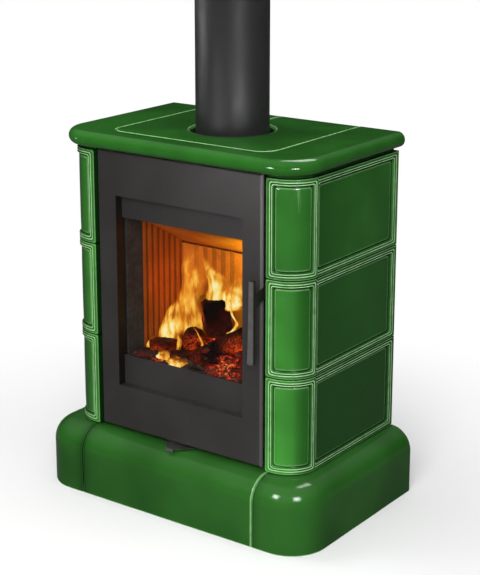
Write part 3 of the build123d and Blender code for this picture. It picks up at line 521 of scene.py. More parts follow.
def corner_line(along):
    """The right corner tile's face in plan: a place along it, and the way it faces there."""
    turn = max(along - CORNER_FLAT, 0) / CORNER_RADIUS
    facing = Vector((math.sin(turn), -math.cos(turn), 0))
    flat_part = max(CORNER_FLAT - along, 0)
    return Vector((CORNER_X - flat_part, CORNER_Y, 0)) + facing * CORNER_RADIUS, facing


def side_line(along):
    """The same of the right side tile."""
    return Vector((BODY_HALF, SIDE_TILE_Y + along, 0)), RIGHTWARDS


def tile(node, line, length, bottom, side, margin, spread, painted_shade, painted_shade_along):
    """A moulded tile with a hollow back, on a line in plan, with painted shade and light that change along
    it.
    """
    places = stations(length, 0.012, margin, spread)
    heights = stations(TILE_HEIGHT, 0.016)
    front, back, thin, pool_and_shade, painted_shades = [], [], [], [], []
    for up in heights:
        face_row, back_row = [], []
        for along in places:
            inset = inset_in(length, along, up, margin, spread)
            edge = min(along, length - along, up, TILE_HEIGHT - up)
            at, facing = line(along)
            at = raised(at, bottom + up)
            handmade = wavy((at.x * side, at.y, at.z), *TILE_SWELLS) * min(inset / LEVEL_BORDER, 1)
            face_row.append(tuple(at - facing * (eased(MOULDING, inset) / MM + handmade)))
            back_row.append(tuple(at - facing * (TILE_BACK if edge < TILE_RIM - RIM_SLACK else TILE_SHELL)))
            worn, deep = glaze_on_moulding(inset)
            thin.append(worn)
            pool_and_shade.append(max(deep, peak(edge, 0, 0.0012)))
            painted_shades.append(painted_shade * eased(painted_shade_along, along / length))
        front.append(face_row)
        back.append(back_row)
    count = len(places)
    total = count * len(heights)
    top = total - count
    faces = skin(front)
    faces += [tuple(corner + total for corner in reversed(face)) for face in faces]
    border = [*range(count), *range(2 * count - 1, total, count), *range(total - 2, top - 1, -1),
              *range(top - count, 0, -count)]
    faces += [(here, here + total, after + total, after)
              for here, after in zip(border, border[1:] + border[:1])]
    # The back and the side walls get the darkest pool: painted shade in the gaps between the tiles and
    # beside the door.
    glazed(node, flat(front) + flat(back), faces, "tile_glaze", thin + [0.0] * total, pool_and_shade + [1.0] * total,
           painted_shades + painted_shades, side, 80)


for row, (corner_painted_shade, side_painted_shade) in enumerate(ROW_PAINTED_SHADES):
    bottom = TILES_BOTTOM + row * TILE_PITCH
    for label, side in (("left", -1), ("right", 1)):
        tile(f"corner_tile_{label}_{row + 1}", corner_line, CORNER_LENGTH, bottom, side, CORNER_MARGIN, 1,
             corner_painted_shade, CORNER_PAINTED_SHADES[label][row])
        tile(f"side_tile_{label}_{row + 1}", side_line, BACK_Y - SIDE_TILE_Y, bottom, side, SIDE_MARGIN,
             REAR_SPREAD, side_painted_shade, SIDE_PAINTED_SHADE)


# ---------------------------------------------------------------- plinth
PLINTH_HALF = 0.359
PLINTH_FRONT_Y = -0.219
PLINTH_HEIGHT = 0.148
PLINTH_CORNER = 0.084
PLINTH_EDGE = 0.050
PLINTH_WALL = 0.020
PLINTH_SEAM = 0.2305
JOINT = 0.0015
LEDGE_HALF = 0.262
LEDGE_Y = -0.124
CORNER_STEPS = 18      # round the corner in plan
EDGE_STEPS = 14        # round the upper edge
INNER_STEPS = 8        # round the same edge inside
PLINTH_SWELLS = (0.09, 0.0009)
END_WRAP = 0.0009      # how far the glaze falls back at a piece's ends, and at its foot
FOOT_WRAP = 0.0008
FACE_HEIGHTS = [0, 0.0008, 0.002, 0.004, 0.02, 0.04, 0.06, 0.08, PLINTH_HEIGHT - PLINTH_EDGE]
WORN_PLACES = [0, 0.0006, 0.0014, 0.0026, 0.0038, 0.005, 0.0062]   # in from an end

# How strong an end's pale rim is, and the dark line of painted shade in the glaze beside it.
DARK_END = (0.0, 1.0)
PALE_END = (1.0, 0.0)
PALE_DARK_END = (0.6, 1.0)


def stretch(start, end, step, worn_start=True, worn_end=True):
    """Places from start to end, close together near an end where the glaze wraps over the edge."""
    places = [start + edge for edge in WORN_PLACES] if worn_start else [start]
    last = [end - edge for edge in reversed(WORN_PLACES)] if worn_end else [end]
    count = max(round((last[0] - places[-1]) / step), 1)
    inner = [places[-1] + (last[0] - places[-1]) * part / count for part in range(1, count)]
    return places + inner + last


def front_line(places):
    """Places along the plinth's front in plan, each with the way it faces."""
    return [(Vector((x, PLINTH_FRONT_Y, 0)), FORWARDS) for x in places]


def corner_piece_line():
    """The same of the right corner piece, from its seam round to the back."""
    line = front_line(stretch(PLINTH_SEAM + JOINT, PLINTH_HALF - PLINTH_CORNER, 0.015, worn_end=False))
    middle = Vector((PLINTH_HALF - PLINTH_CORNER, PLINTH_FRONT_Y + PLINTH_CORNER, 0))
    for turn in quarter(CORNER_STEPS)[1:-1]:
        facing = Vector((math.sin(turn), -math.cos(turn), 0))
        line.append((middle + facing * PLINTH_CORNER, facing))
    sides = stretch(middle.y, BACK_Y, 0.018, worn_start=False)
    return line + [(Vector((PLINTH_HALF, y, 0)), RIGHTWARDS) for y in sides]


def plinth_piece(node, places, ends, side=1):
    """A length of plinth: an upright face, a quarter-round above it and the flat ledge behind."""
    sections, thin, pool_and_shade = [], [], []
    first, last = places[0][0], places[-1][0]
    bend = PLINTH_HEIGHT - PLINTH_EDGE
    inner_radius = PLINTH_EDGE - PLINTH_WALL
    for at, facing in places:
        edge, (pale, dark) = min(((at - first).length, ends[0]), ((at - last).length, ends[1]))
        wrap = END_WRAP * peak(edge, 0, 0.0026) ** 2
        outline, worn = [], []
        for height in FACE_HEIGHTS:
            foot = FOOT_WRAP * peak(height, 0, 0.002)
            outline.append(raised(at - facing * foot, height))
            worn.append(0.8 * peak(height, 0.0006, 0.0016))
        for turn in quarter(EDGE_STEPS)[1:]:
            inward = PLINTH_EDGE * (1 - math.cos(turn))
            outline.append(raised(at - facing * inward, PLINTH_HEIGHT - PLINTH_EDGE * (1 - math.sin(turn))))
            worn.append(0.0)
        outline = [point - facing * (wrap + wavy((point.x * side, point.y, point.z), *PLINTH_SWELLS))
                   for point in outline]
        ledge = Vector((max(min(at.x, LEDGE_HALF), -LEDGE_HALF), max(at.y, LEDGE_Y), 0))
        inner = [raised(ledge, PLINTH_HEIGHT), raised(ledge, PLINTH_HEIGHT - PLINTH_WALL)]
        for turn in reversed(quarter(INNER_STEPS)):
            inward = PLINTH_EDGE - inner_radius * math.cos(turn)
            inner.append(raised(at - facing * inward, bend + inner_radius * math.sin(turn)))
        inner.append(at - facing * PLINTH_WALL)
        sections.append([tuple(point) for point in outline + inner])
        rim = pale * peak(edge, 0.0008, 0.0022)
        line = max(peak(edge, 0.0045, 0.0024), (1 - pale) * peak(edge, 0, 0.002))
        pool_and_shade += [dark * line] * len(sections[-1])
        thin += [max(value, rim) for value in worn] + [rim] + [0.0] * (len(inner) - 1)
    glazed(node, flat(sections), capped(sections), "plinth_glaze", thin, pool_and_shade, side=side)


plinth_piece("plinth_front", front_line(stretch(-PLINTH_SEAM, PLINTH_SEAM, 0.02)), (DARK_END, PALE_END))
plinth_piece("plinth_corner_left", corner_piece_line(), (DARK_END, PALE_END), -1)
plinth_piece("plinth_corner_right", corner_piece_line(), (PALE_DARK_END, PALE_END))


# ---------------------------------------------------------------- top slab
SLAB_HALF = 0.322
SLAB_FRONT_Y = -0.186
SLAB_BOTTOM = 0.784
SLAB_TOP = 0.818
SLAB_CORNER = 0.084
SLAB_NOSE = 0.0168
SLAB_SHRINK = 0.0002   # how far the glazed slab stays inside the CAD's
SLAB_SWELLS = (0.08, 0.0006)
PANEL_HALF = 0.209
PANEL_Y = -0.131
PANEL_CORNER = 0.038
FLUE_Y = 0.035
FLUE_AXIS = Vector((0, FLUE_Y, 0))
FLUE_HOLE = 0.094
SLIT_HALF = 0.001
SLIT_THIN = 0.8        # how thin the glaze is on the slit's sides
RIM_STEPS = [(0, 0.0014), (0.0004, 0.0007), (0.0011, 0.0002), (0.0026, 0)]   # in from the edge, down
HOLE_RIM = 1.4         # how much wider the rim is round the flue's hole
BAY_SIDES = [0, 0.002, 0.005, 0.01, 0.02] + [part / 16 for part in range(1, 17)]   # from the back
BAY_CORNER_STEPS = 20
BAY_FRONT_STEPS = 24
NOSE_STEPS = 18
NOSE_SWELLS = 9        # the height at which the nose's unevenness is read
LINER_OUTLINE = [      # out from the flue's axis, and up
    (0.091, 0.786), (0.091, 0.811), (0.092, 0.812), (0.0925, 0.812), (0.0935, 0.811), (0.0935, 0.786),
]
LINER_GAP = 0.02       # radians, at the slit
LINER_STEPS = 96


def ray_at(turn):
    """The way from the flue's axis at a turn, of which 0 is to the back."""
    return Vector((math.sin(turn), math.cos(turn), 0))


def bay(half, front, corner):
    """A U in plan, open to the back: places and facings, which match those of any such U."""
    depth = front + corner - BACK_Y
    right = [(Vector((half, BACK_Y + depth * share, 0)), RIGHTWARDS) for share in BAY_SIDES]
    centre = Vector((half - corner, front + corner, 0))
    for turn in quarter(BAY_CORNER_STEPS)[1:-1]:
        out = Vector((math.cos(turn), -math.sin(turn), 0))
        right.append((centre + out * corner, out))
    left = [(Vector((-at.x, at.y, 0)), Vector((-out.x, out.y, 0))) for at, out in right]
    reach = half - corner
    across = [(Vector((-reach + 2 * reach * part / BAY_FRONT_STEPS, front, 0)), FORWARDS)
              for part in range(BAY_FRONT_STEPS + 1)]
    return left + across + right[::-1]


def slab_rim(seam, inward, widen=1):
    """The glazed rim above a seam, as (point, how thin the glaze is) from the seam inwards."""
    return [(raised(seam + inward * step * widen, SLAB_TOP - SLAB_SHRINK - drop), peak(step, 0.0008, 0.0018))
            for step, drop in RIM_STEPS]


def slab_piece(node, sections):
    """A piece of the slab from closed outlines of (point, how thin the glaze is)."""
    points = [tuple(point) for point, _ in flat(sections)]
    glazed(node, points, capped(sections), "slab_glaze", [thin for _, thin in flat(sections)])


def slab_border():
    """The outer border of the slab: a full bullnose outside, and a glazed rim along the seam."""
    sections = []
    middle = (SLAB_TOP + SLAB_BOTTOM) / 2
    outer = bay(SLAB_HALF, SLAB_FRONT_Y, SLAB_CORNER)
    inner = bay(PANEL_HALF, PANEL_Y, PANEL_CORNER)
    for (at, facing), (seam, away) in zip(outer, inner):
        section = [(raised(seam, SLAB_BOTTOM), 0.0)]
        for part in range(NOSE_STEPS + 1):
            turn = math.pi * (part / NOSE_STEPS - 0.5)
            nose = at - facing * (SLAB_NOSE * (1 - math.cos(turn)) + SLAB_SHRINK)
            swell = wavy(raised(nose, NOSE_SWELLS), *SLAB_SWELLS)
            section.append((raised(nose - facing * swell, middle + SLAB_NOSE * math.sin(turn)), 0.0))
        sections.append(section + slab_rim(seam, away)[::-1])
    slab_piece("slab_border", sections)


def panel_edge(turn):
    """Where a ray from the flue's axis meets the middle plate's outline."""
    ray = ray_at(turn)
    half, front, corner = PANEL_HALF - JOINT, PANEL_Y + JOINT, PANEL_CORNER - JOINT
    tiny = 1e-6
    reach = min((BACK_Y - FLUE_Y) / max(ray.y, tiny), (FLUE_Y - front) / max(-ray.y, tiny),
                half / max(abs(ray.x), tiny))
    at = FLUE_AXIS + ray * reach
    centre = Vector((math.copysign(half - corner, ray.x), front + corner, 0))
    if abs(at.x) > abs(centre.x) and at.y < centre.y:
        gap = FLUE_AXIS - centre
        along = gap.dot(ray)
        at = FLUE_AXIS + ray * (-along + math.sqrt(along ** 2 - gap.length_squared + corner ** 2))
    return at


def slab_centre():
    """The slab's middle plate, with the flue's hole and the slit from the hole to the back."""
    back_corner = math.atan2(PANEL_HALF - JOINT, BACK_Y - FLUE_Y)
    round_hole = [part * math.pi / 60 for part in range(1, 120)]
    sections = []
    for turn in [0, *sorted(round_hole + [back_corner, 2 * math.pi - back_corner]), 2 * math.pi]:
        at_slit = turn in (0, 2 * math.pi)
        if at_slit:
            x = SLIT_HALF if turn == 0 else -SLIT_HALF
            hole, edge = Vector((x, FLUE_Y + FLUE_HOLE, 0)), Vector((x, BACK_Y, 0))
        else:
            hole, edge = FLUE_AXIS + ray_at(turn) * FLUE_HOLE, panel_edge(turn)
        away = (edge - hole).normalized()
        section = [(raised(hole, SLAB_BOTTOM), 0.0), *slab_rim(hole, away, HOLE_RIM),
                   *slab_rim(edge, -away)[::-1], (raised(edge, SLAB_BOTTOM), 0.0)]
        if at_slit:
            section = [(point, max(thin, SLIT_THIN)) for point, thin in section]
        sections.append(section)
    slab_piece("slab_centre", sections)


def hole_liner():
    """The felt ring that lines the slab's hole, down to the felt that the slab lies on."""
    rows = []
    for part in range(LINER_STEPS + 1):
        ray = ray_at(LINER_GAP + 2 * (math.pi - LINER_GAP) * part / LINER_STEPS)
        rows.append([tuple(raised(FLUE_AXIS, height) + ray * reach) for reach, height in LINER_OUTLINE])
    piece("hole_liner", flat(rows), capped(rows), shade_dark_felt, sharp=40)


slab_border()
slab_centre()
hole_liner()


# ---------------------------------------------------------------- fire
HEARTH_TOP = 0.316
EMBERS_FRONT = -0.1245
EMBERS_BACK = 0.0665
WALL_GAP = 0.003       # between the ash and the chamber's walls


def smooth(values, share):
    """A value on the smooth line through numbers or vectors, at a share of the way along them."""
    place = share * (len(values) - 1)
    first = min(int(place), len(values) - 2)
    at = place - first
    a, b, c, d = (values[min(max(first + step, 0), len(values) - 1)] for step in (-1, 0, 1, 2))
    return (b * 2 + (c - a) * at + (a * 2 - b * 5 + c * 4 - d) * at ** 2
            + (b * 3 - a - c * 3 + d) * at ** 3) / 2


def charred(name):
    """Burnt wood: black scales parted by cracks, which glow where the heat painted on it is high."""
    made = Shader(name, specular=0.2)
    warp = made.between(made.noise(70, 4), 0.2, 0.8, -1.5, 1.5)
    warped = made.add("ShaderNodeVectorMath", {0: made.stretched(120, 120, 95), 1: warp}, operation="ADD")
    edges = made.add("ShaderNodeTexVoronoi", {"Vector": warped["Vector"], "Scale": 1},
                     feature="DISTANCE_TO_EDGE")
    crack = made.between(edges["Distance"], 0.01, 0.11, 1, 0)
    brown = made.between(made.noise(28, 5), 0.45, 0.75)
    made.drive("Base Color", made.mix(brown, rgb(12, 7, 6), rgb(54, 10, 8)))
    heat = made.painted("burning")
    lit = made.times(heat, made.between(made.noise(22, 4), 0.38, 0.62))
    glow = made.times(lit, made.math("ADD", crack, made.between(heat, 0.5, 1.0, 0.1, 0.7)))
    made.drive("Emission Color", made.mix(glow, BLACK, (1.0, 0.09, 0.01, 1)))
    made.drive("Emission Strength", 1.5)
    made.drive("Roughness", made.between(crack, 0, 1, 0.8, 0.95))
    made.drive("Normal", made.bump(made.math("SUBTRACT", 1.0, crack), 0.003))
    return made.material


def glowing_coals(name):
    """Embers: orange to yellow where they are hottest, then red, with grey ash on the cooler ones."""
    made = Shader(name, specular=0.1)
    crust = made.noise(150, 5)
    made.drive("Base Color", made.mix(made.between(crust, 0.4, 0.65), rgb(18, 10, 8), rgb(58, 44, 38)))
    heat = made.times(made.painted("burning"), made.between(crust, 0.36, 0.58, 1.15, 0.1))
    made.drive("Emission Color", made.ramp(heat, [
        (0, BLACK), (0.25, (0.2, 0.008, 0.002, 1)), (0.5, (0.6, 0.05, 0.008, 1)),
        (0.8, (1.0, 0.26, 0.04, 1)), (1, (1.0, 0.55, 0.2, 1)),
    ]))
    made.drive("Emission Strength", 0.95)
    made.drive("Roughness", made.between(crust, 0.3, 0.7, 0.8, 1.0))
    made.drive("Normal", made.bump(crust, 0.002))
    return made.material


def burning_gas(name):
    """Flame: clear at its edges, orange inside them, and pale yellow where it is hottest."""
    made = Shader(name, roughness=1.0, specular=0.0)
    wisps = made.between(made.noise(1, 4, made.stretched(75, 75, 24)), 0.3, 0.7, 0.45, 1.15)
    heat = made.times(made.painted("burning"), wisps)
    made.drive("Base Color", BLACK)
    made.drive("Emission Color", made.ramp(heat, [
        (0, (0.85, 0.16, 0.01, 1)), (0.3, (0.85, 0.26, 0.015, 1)), (0.55, (0.95, 0.46, 0.05, 1)),
        (0.8, (1.0, 0.76, 0.2, 1)), (1, (1.0, 0.90, 0.50, 1)),
    ]))
    made.drive("Emission Strength", 1.0)
    made.drive("Alpha", made.between(heat, 0.04, 0.62, 0, 0.96))
    return made.material


fire_finishes = {
    "charred": charred("charred wood"),
    "coals": glowing_coals("glowing coals"),
    "ash": mottled("wood ash", 0.05, rgb(26, 18, 15), rgb(66, 50, 42), (70, 5, 0.35, 0.65),
                   (70, 5, 0.9, 1.0), (260, 4, 0.0015)),
    "flame": burning_gas("flame"),
}


def in_fire(name, points, faces, heat, finish, sharp=50):
    piece(name, points, faces, fire_finishes[finish], painted={"burning": heat}, sharp=sharp)


def log(name, start, end, width, height, squareness, roll, hot, seed):
    """A burning log, rolled by degrees: a cracked skin round its axis, with broken ends and a hot place."""
    start, end, hot = Vector(start), Vector(end), Vector(hot)
    axis = (end - start).normalized()
    across = axis.cross(Vector((0, 0, 1))).normalized()
    upward = across.cross(axis)
    turned = math.radians(roll)
    across, upward = (across * math.cos(turned) + upward * math.sin(turned),
                      upward * math.cos(turned) - across * math.sin(turned))
    around, end_rings = 64, 5
    rings = max(round((end - start).length / 0.003), 12)
    rows = []
    for ring in range(-end_rings, rings + end_rings + 1):
        middle = start.lerp(end, min(max(ring, 0), rings) / rings)
        past = max(-ring, ring - rings, 0)
        shrink = 1 - (past / (end_rings + 0.4)) ** 1.5
        row = []
        for step in range(around):
            turn = 2 * math.pi * step / around
            side, top = math.cos(turn), math.sin(turn)
            reach = (abs(side) ** squareness + abs(top) ** squareness) ** (-1 / squareness)
            from_axis = across * (side * reach * width / 2) + upward * (top * reach * height / 2)
            seat = middle + from_axis * shrink
            bulge = 1 + 0.10 * noise.noise(seat * 18 + Vector((seed, 0, 0)))
            gaps = noise.voronoi(seat * 75 + Vector((seed, 3, 1)))[0]
            crack = max(1 - (gaps[1] - gaps[0]) / 0.22, 0)
            rough = 1 + 0.05 * noise.noise(seat * 110 + Vector((0, seed, 0))) - 0.045 * crack
            ragged = axis * (0.004 * noise.noise(seat * 90 + Vector((0, 0, seed)))) if past else Vector()
            row.append(tuple(middle + from_axis * (shrink * bulge * rough) + ragged))
        rows.append(row)
    heat = []
    for point in flat(rows):
        low = 1 - (point[2] - HEARTH_TOP) / 0.11
        near = 1 - (Vector(point) - hot).length / 0.045
        heat.append(min(max(0.15 * low, 0.8 * near, 0.0), 1.0))
    in_fire(name, flat(rows), capped(rows), heat, "charred")


def coals(name, count, low, high, size, hottest, reach, seed):
    """A heap of broken embers between two corners, hottest near one place and cooler beyond reach."""
    picked = random.Random(seed)
    work = bmesh.new()
    for _ in range(count):
        shares = (picked.random(), picked.random(), picked.random() ** 2)
        middle = Vector([start + (end - start) * share for start, end, share in zip(low, high, shares)])
        radius = size * picked.uniform(0.6, 1.3)
        shape = Vector((picked.uniform(0.9, 2.2), picked.uniform(0.7, 1.1), picked.uniform(0.4, 0.8)))
        tilt = Euler((picked.uniform(-0.5, 0.5), picked.uniform(-0.5, 0.5), picked.uniform(0, 3.1)))
        bmesh.ops.create_icosphere(work, subdivisions=2, radius=radius,
                                   matrix=Matrix.LocRotScale(middle, tilt, shape))
    for vert in work.verts:
        vert.co += vert.normal * 0.004 * noise.noise(vert.co * 190)
        vert.co.z = max(vert.co.z, HEARTH_TOP)
    points = [tuple(vert.co) for vert in work.verts]
    faces = [tuple(vert.index for vert in face.verts) for face in work.faces]
    work.free()
    heat = []
    for point in map(Vector, points):
        gone = (point - Vector(hottest)).length
        patch = noise.noise(point * 60) + 0.6 * noise.noise(point * 170)
        heat.append(min(max(0.80 - gone / reach + 0.4 * patch, 0.15), 1.0))
    in_fire(name, points, faces, heat, "coals", 40)


def ash_bed():
    """A low bed of ash on the hearth bricks and the grate, with a foot at its front and rear."""
    columns, depths = 56, 26
    rows = []
    for row in range(depths + 1):
        y = EMBERS_FRONT + (EMBERS_BACK - EMBERS_FRONT) * row / depths
        rows.append([])
        for column in range(columns + 1):
            x = -CHAMBER_HALF + WALL_GAP + 2 * (CHAMBER_HALF - WALL_GAP) * column / columns
            edge = min((CHAMBER_HALF - abs(x)) / 0.03, (y - EMBERS_FRONT) / 0.006, (EMBERS_BACK - y) / 0.03)
            rise = (0.004 + 0.012 * (noise.noise(Vector((x, y, 0)) * 22) + 0.6)) * min(max(edge, 0), 1)
            rows[-1].append((x, y, HEARTH_TOP + 0.0005 + max(rise, 0)))
    front_foot, rear_foot = ([(x, y, HEARTH_TOP) for x, y, _ in row] for row in (rows[0], rows[-1]))
    rows = [front_foot, *rows, rear_foot]
    points = flat(rows)
    in_fire("ash_bed", points, skin(rows), [0.0] * len(points), "ash", 60)


def flame(name, y, line, widths, heats, seed):
    """A tongue of flame: a thin, curved sheet along a line of (x, z) places, widest where it burns."""
    columns, steps = 14, 44
    line = [Vector((x, y, z)) for x, z in line]
    rows, heat = [], []
    for step in range(steps + 1):
        share = step / steps
        at = smooth(line, share)
        breadth = max(smooth(widths, share), 0.001)
        warmth = max(smooth(heats, share), 0)
        row = []
        for column in range(columns + 1):
            side = 2 * column / columns - 1
            lick = noise.noise(Vector((seed, share * 5, side))) * 0.10 * breadth
            bowed = 0.25 * breadth * (side * side - 0.5)
            sway = 0.006 * noise.noise(Vector((seed + 5, share * 4, 0)))
            row.append((at.x + side * breadth / 2 + lick, at.y + bowed + sway, at.z))
            ragged = 0.8 + 0.5 * noise.noise(Vector((side * 1.6 + seed, share * 6, seed)))
            heat.append(min(warmth * (1 - side * side) ** 0.8 * ragged, 1.0) * min(share * 9, 1.0))
        rows.append(row)
    in_fire(name, flat(rows), skin(rows), heat, "flame", 180)


ash_bed()

log("log_top", (0.036, -0.066, 0.418), (-0.056, 0.030, 0.398), 0.058, 0.080, 5, 8,
    (-0.03, -0.05, 0.41), 3)
log("log_front", (0.000, -0.094, 0.328), (0.118, -0.080, 0.400), 0.042, 0.042, 3, 20,
    (0.11, -0.09, 0.37), 11)
log("log_low", (-0.058, -0.106, 0.326), (0.070, -0.098, 0.350), 0.028, 0.030, 3, 10,
    (0.07, -0.10, 0.33), 31)
log("log_left", (-0.128, -0.084, 0.335), (-0.066, -0.090, 0.342), 0.036, 0.030, 5, 0,
    (-0.10, -0.10, 0.31), 19)
log("log_middle", (-0.030, -0.070, 0.356), (-0.104, 0.036, 0.346), 0.048, 0.050, 2.2, 0,
    (-0.03, -0.07, 0.34), 23)

coals("coals_right", 240, (0.03, -0.112, 0.318), (0.158, -0.02, 0.362), 0.008,
      (0.09, -0.11, 0.33), 0.06, 5)
coals("coals_front", 240, (0.045, -0.121, 0.317), (0.161, -0.100, 0.328), 0.007,
      (0.09, -0.12, 0.318), 0.07, 12)
coals("coals_left", 220, (-0.150, -0.119, 0.317), (-0.03, -0.075, 0.321), 0.007,
      (-0.06, -0.115, 0.318), 0.08, 8)
coals("coals_back", 60, (-0.155, -0.05, 0.318), (0.155, 0.05, 0.335), 0.012,
      (-0.02, -0.04, 0.32), 0.16, 9)

flame("flame_left", -0.060,
      [(-0.112, 0.325), (-0.106, 0.360), (-0.088, 0.405), (-0.060, 0.450), (-0.048, 0.500), (-0.062, 0.555)],
      [0.080, 0.076, 0.066, 0.046, 0.026, 0.006], [0.9, 1.1, 1.0, 0.7, 0.42, 0.1], 1)
flame("flame_middle", -0.030,
      [(-0.070, 0.35), (-0.066, 0.41), (-0.062, 0.47), (-0.058, 0.52), (-0.050, 0.57)],
      [0.090, 0.094, 0.090, 0.080, 0.050], [0.65, 0.78, 0.68, 0.56, 0.05], 2)
flame("flame_top", -0.036,
      [(0.018, 0.435), (0.020, 0.470), (0.006, 0.500), (-0.014, 0.525), (-0.036, 0.550)],
      [0.090, 0.094, 0.070, 0.036, 0.006], [1.1, 1.2, 0.9, 0.7, 0.1], 3)
flame("flame_right", -0.045, [(0.046, 0.435), (0.060, 0.462), (0.074, 0.490), (0.092, 0.525)],
      [0.050, 0.080, 0.080, 0.040], [1.1, 1.3, 0.95, 0.2], 4)
flame("flame_edge", -0.070,
      [(0.058, 0.392), (0.078, 0.404), (0.087, 0.421), (0.074, 0.440), (0.067, 0.470)],
      [0.006, 0.010, 0.011, 0.008, 0.012], [0.9, 1.3, 1.3, 1.2, 0.8], 5)
flame("flame_low", -0.096, [(-0.052, 0.318), (-0.049, 0.340), (-0.052, 0.362), (-0.050, 0.385)],
      [0.016, 0.014, 0.016, 0.006], [0.9, 0.8, 0.7, 0.1], 6)
flame("flame_floor_left", -0.113, [(-0.082, 0.314), (-0.080, 0.328), (-0.076, 0.341)],
      [0.080, 0.070, 0.030], [1.5, 1.0, 0.2], 9)
flame("flame_floor_right", -0.1215, [(-0.040, 0.312), (-0.036, 0.324), (-0.028, 0.338)],
      [0.080, 0.070, 0.030], [1.5, 1.0, 0.2], 10)
flame("flame_curl", -0.096, [(-0.002, 0.339), (0.013, 0.354), (0.010, 0.376), (-0.011, 0.400)],
      [0.006, 0.008, 0.008, 0.004], [0.9, 1.1, 0.9, 0.3], 7)
flame("flame_corner", -0.090, [(-0.143, 0.320), (-0.136, 0.340), (-0.122, 0.358)],
      [0.020, 0.016, 0.006], [0.6, 0.7, 0.2], 8)


# ---------------------------------------------------------------- floor, light and camera
def sees_background(made):
    """1 for the camera and through glass. The glaze mirrors the background dimly, as in a dark room."""
    ray = made.add("ShaderNodeLightPath", {})
    clear = made.math("MAXIMUM", ray["Is Camera Ray"], ray["Is Transmission Ray"])
    return made.math("MAXIMUM", clear, made.times(ray["Is Glossy Ray"], 0.01))


def pale_floor():
    """A matt pale floor that keeps the stove's shadow and fades into the white background around it."""
    made = Shader("pale floor", roughness=0.9, specular=0.0)
    seen = sees_background(made)
    made.drive("Base Color", made.mix(seen, rgb(100, 100, 100), rgb(238, 238, 238)))
    away = made.add("ShaderNodeVectorMath", {0: made.place}, operation="LENGTH")["Value"]
    white = made.add("ShaderNodeEmission", {})["Emission"]
    faded = made.times(seen, made.between(away, 0.3, 1.2))
    made.feed(made.tree.nodes["Material Output"].inputs["Surface"],
              made.blend(faded, made.surface.outputs["BSDF"], white))
    return made.material


def stage_floor():
    reach = 12
    corners = [(-reach, -reach, 0), (reach, -reach, 0), (reach, reach, 0), (-reach, reach, 0)]
    mesh = bpy.data.meshes.new("floor")
    mesh.from_pydata(corners, [], [(0, 1, 2, 3)])
    mesh.materials.append(pale_floor())
    floor = linked("floor", mesh)


def lamp(name, place, power, colour=(1, 1, 1)):
    """An area lamp that lights the stove and isn't mirrored in its gloss."""
    data = bpy.data.lights.new(name, "AREA")
    data.energy = power
    data.color = colour
    made = linked(name, data)
    made.location = place
    made.visible_glossy = False
    return made


def softbox(name, azimuth, elevation, distance, width, height, power, target=(0, 0, 0.5), spread=180):
    """A rectangular lamp that points at its target.

    Azimuth 0 is in front of the door, 90 to its right. A spread below 180 degrees is a grid on the lamp.
    """
    turn = math.radians(azimuth)
    rise = math.radians(elevation)
    away = Vector((math.sin(turn) * math.cos(rise), -math.cos(turn) * math.cos(rise), math.sin(rise)))
    made = lamp(name, Vector(target) + away * distance, power)
    made.data.shape = "RECTANGLE"
    made.data.size = width
    made.data.size_y = height
    made.data.spread = math.radians(spread)
    made.rotation_euler = away.to_track_quat("Z", "Y").to_euler()
    made.visible_camera = False
    return made


def mirrored_box(*settings):
    """A softbox that is only mirrored in the stove's gloss."""
    made = softbox(*settings)
    made.visible_diffuse = False
    made.visible_glossy = True


def firelight(name, place, power, colour):
    """The light that the flames throw back on the bricks."""
    made = lamp(name, place, power, colour)
    made.data.size = 0.08
    made.rotation_euler = (math.pi / 2, 0, 0)


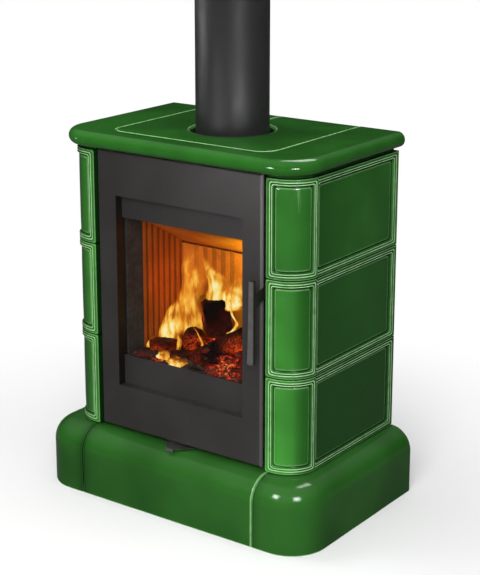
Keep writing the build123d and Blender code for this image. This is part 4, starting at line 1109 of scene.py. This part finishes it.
def studio_world():
    """Soft light from above, dimmer towards the horizon, and plain white to the camera."""
    world = bpy.data.worlds.new("studio")
    world.use_nodes = True
    made = Nodes(world.node_tree)
    height = made.axes(made.add("ShaderNodeTexCoord", {})["Generated"])["Z"]
    lit = made.tree.nodes["Background"]
    made.feed(lit.inputs["Color"], WHITE)
    made.feed(lit.inputs["Strength"], made.between(height, 0.3, 0.9, 0.005, 0.57, "LINEAR"))
    white = made.add("ShaderNodeBackground", {"Color": WHITE})["Background"]
    made.feed(made.tree.nodes["World Output"].inputs["Surface"],
              made.blend(sees_background(made), lit.outputs["Background"], white))
    scene.world = world


def camera():
    data = bpy.data.cameras.new("camera")
    data.sensor_fit = "VERTICAL"
    data.sensor_height = 36
    data.lens = 94.25
    data.shift_y = -0.1
    data.clip_end = 100
    made = linked("camera", data)
    made.location = (1.8875, -2.5432, 1.4347)
    made.rotation_euler = (math.radians(75.22), 0, math.radians(35.92))
    scene.camera = made


stage_floor()
studio_world()

softbox("key", 28, 26, 4.0, 2.4, 2.0, 140)
softbox("left light", -75, 52, 3.0, 1.6, 1.2, 34)
softbox("low fill", 25, 6, 2.4, 1.6, 0.3, 19, (0, 0, 0.2))
softbox("rear fill", 180, 4, 3.5, 2.0, 1.2, 30)
softbox("side fill", 85, 60, 2.0, 1.0, 0.6, 8)
mirrored_box("pipe left", -66, -12, 3.3, 1.00, 0.3, 0.60, (0, 0, 1.23), 14)
mirrored_box("pipe right", 62, -12, 3.3, 0.70, 0.6, 0.33, (0, 0, 1.2), 16)
mirrored_box("nose left", -16, -4, 1.3, 0.58, 0.17, 0.39, (0.3, -0.16, 0.8), 26)
mirrored_box("nose right", 54, -4, 1.1, 0.50, 0.15, 0.32, (0.3, -0.16, 0.8), 26)
mirrored_box("plinth left", -20, 36, 1.5, 0.50, 0.50, 0.65, (0.31, -0.19, 0.12), 28)
mirrored_box("plinth right", 54, 37, 1.3, 0.46, 0.44, 0.52, (0.31, -0.19, 0.12), 28)
mirrored_box("ceiling", 178, 62, 3.5, 2.2, 2.0, 120, (0, 0, 0.8))
firelight("firelight left", (-0.09, -0.06, 0.46), 0.085, (1.0, 0.14, 0.002))
firelight("firelight right", (0.10, -0.05, 0.50), 0.58, (1.0, 1.0, 0.05))
camera()
scene.view_settings.view_transform = "Standard"
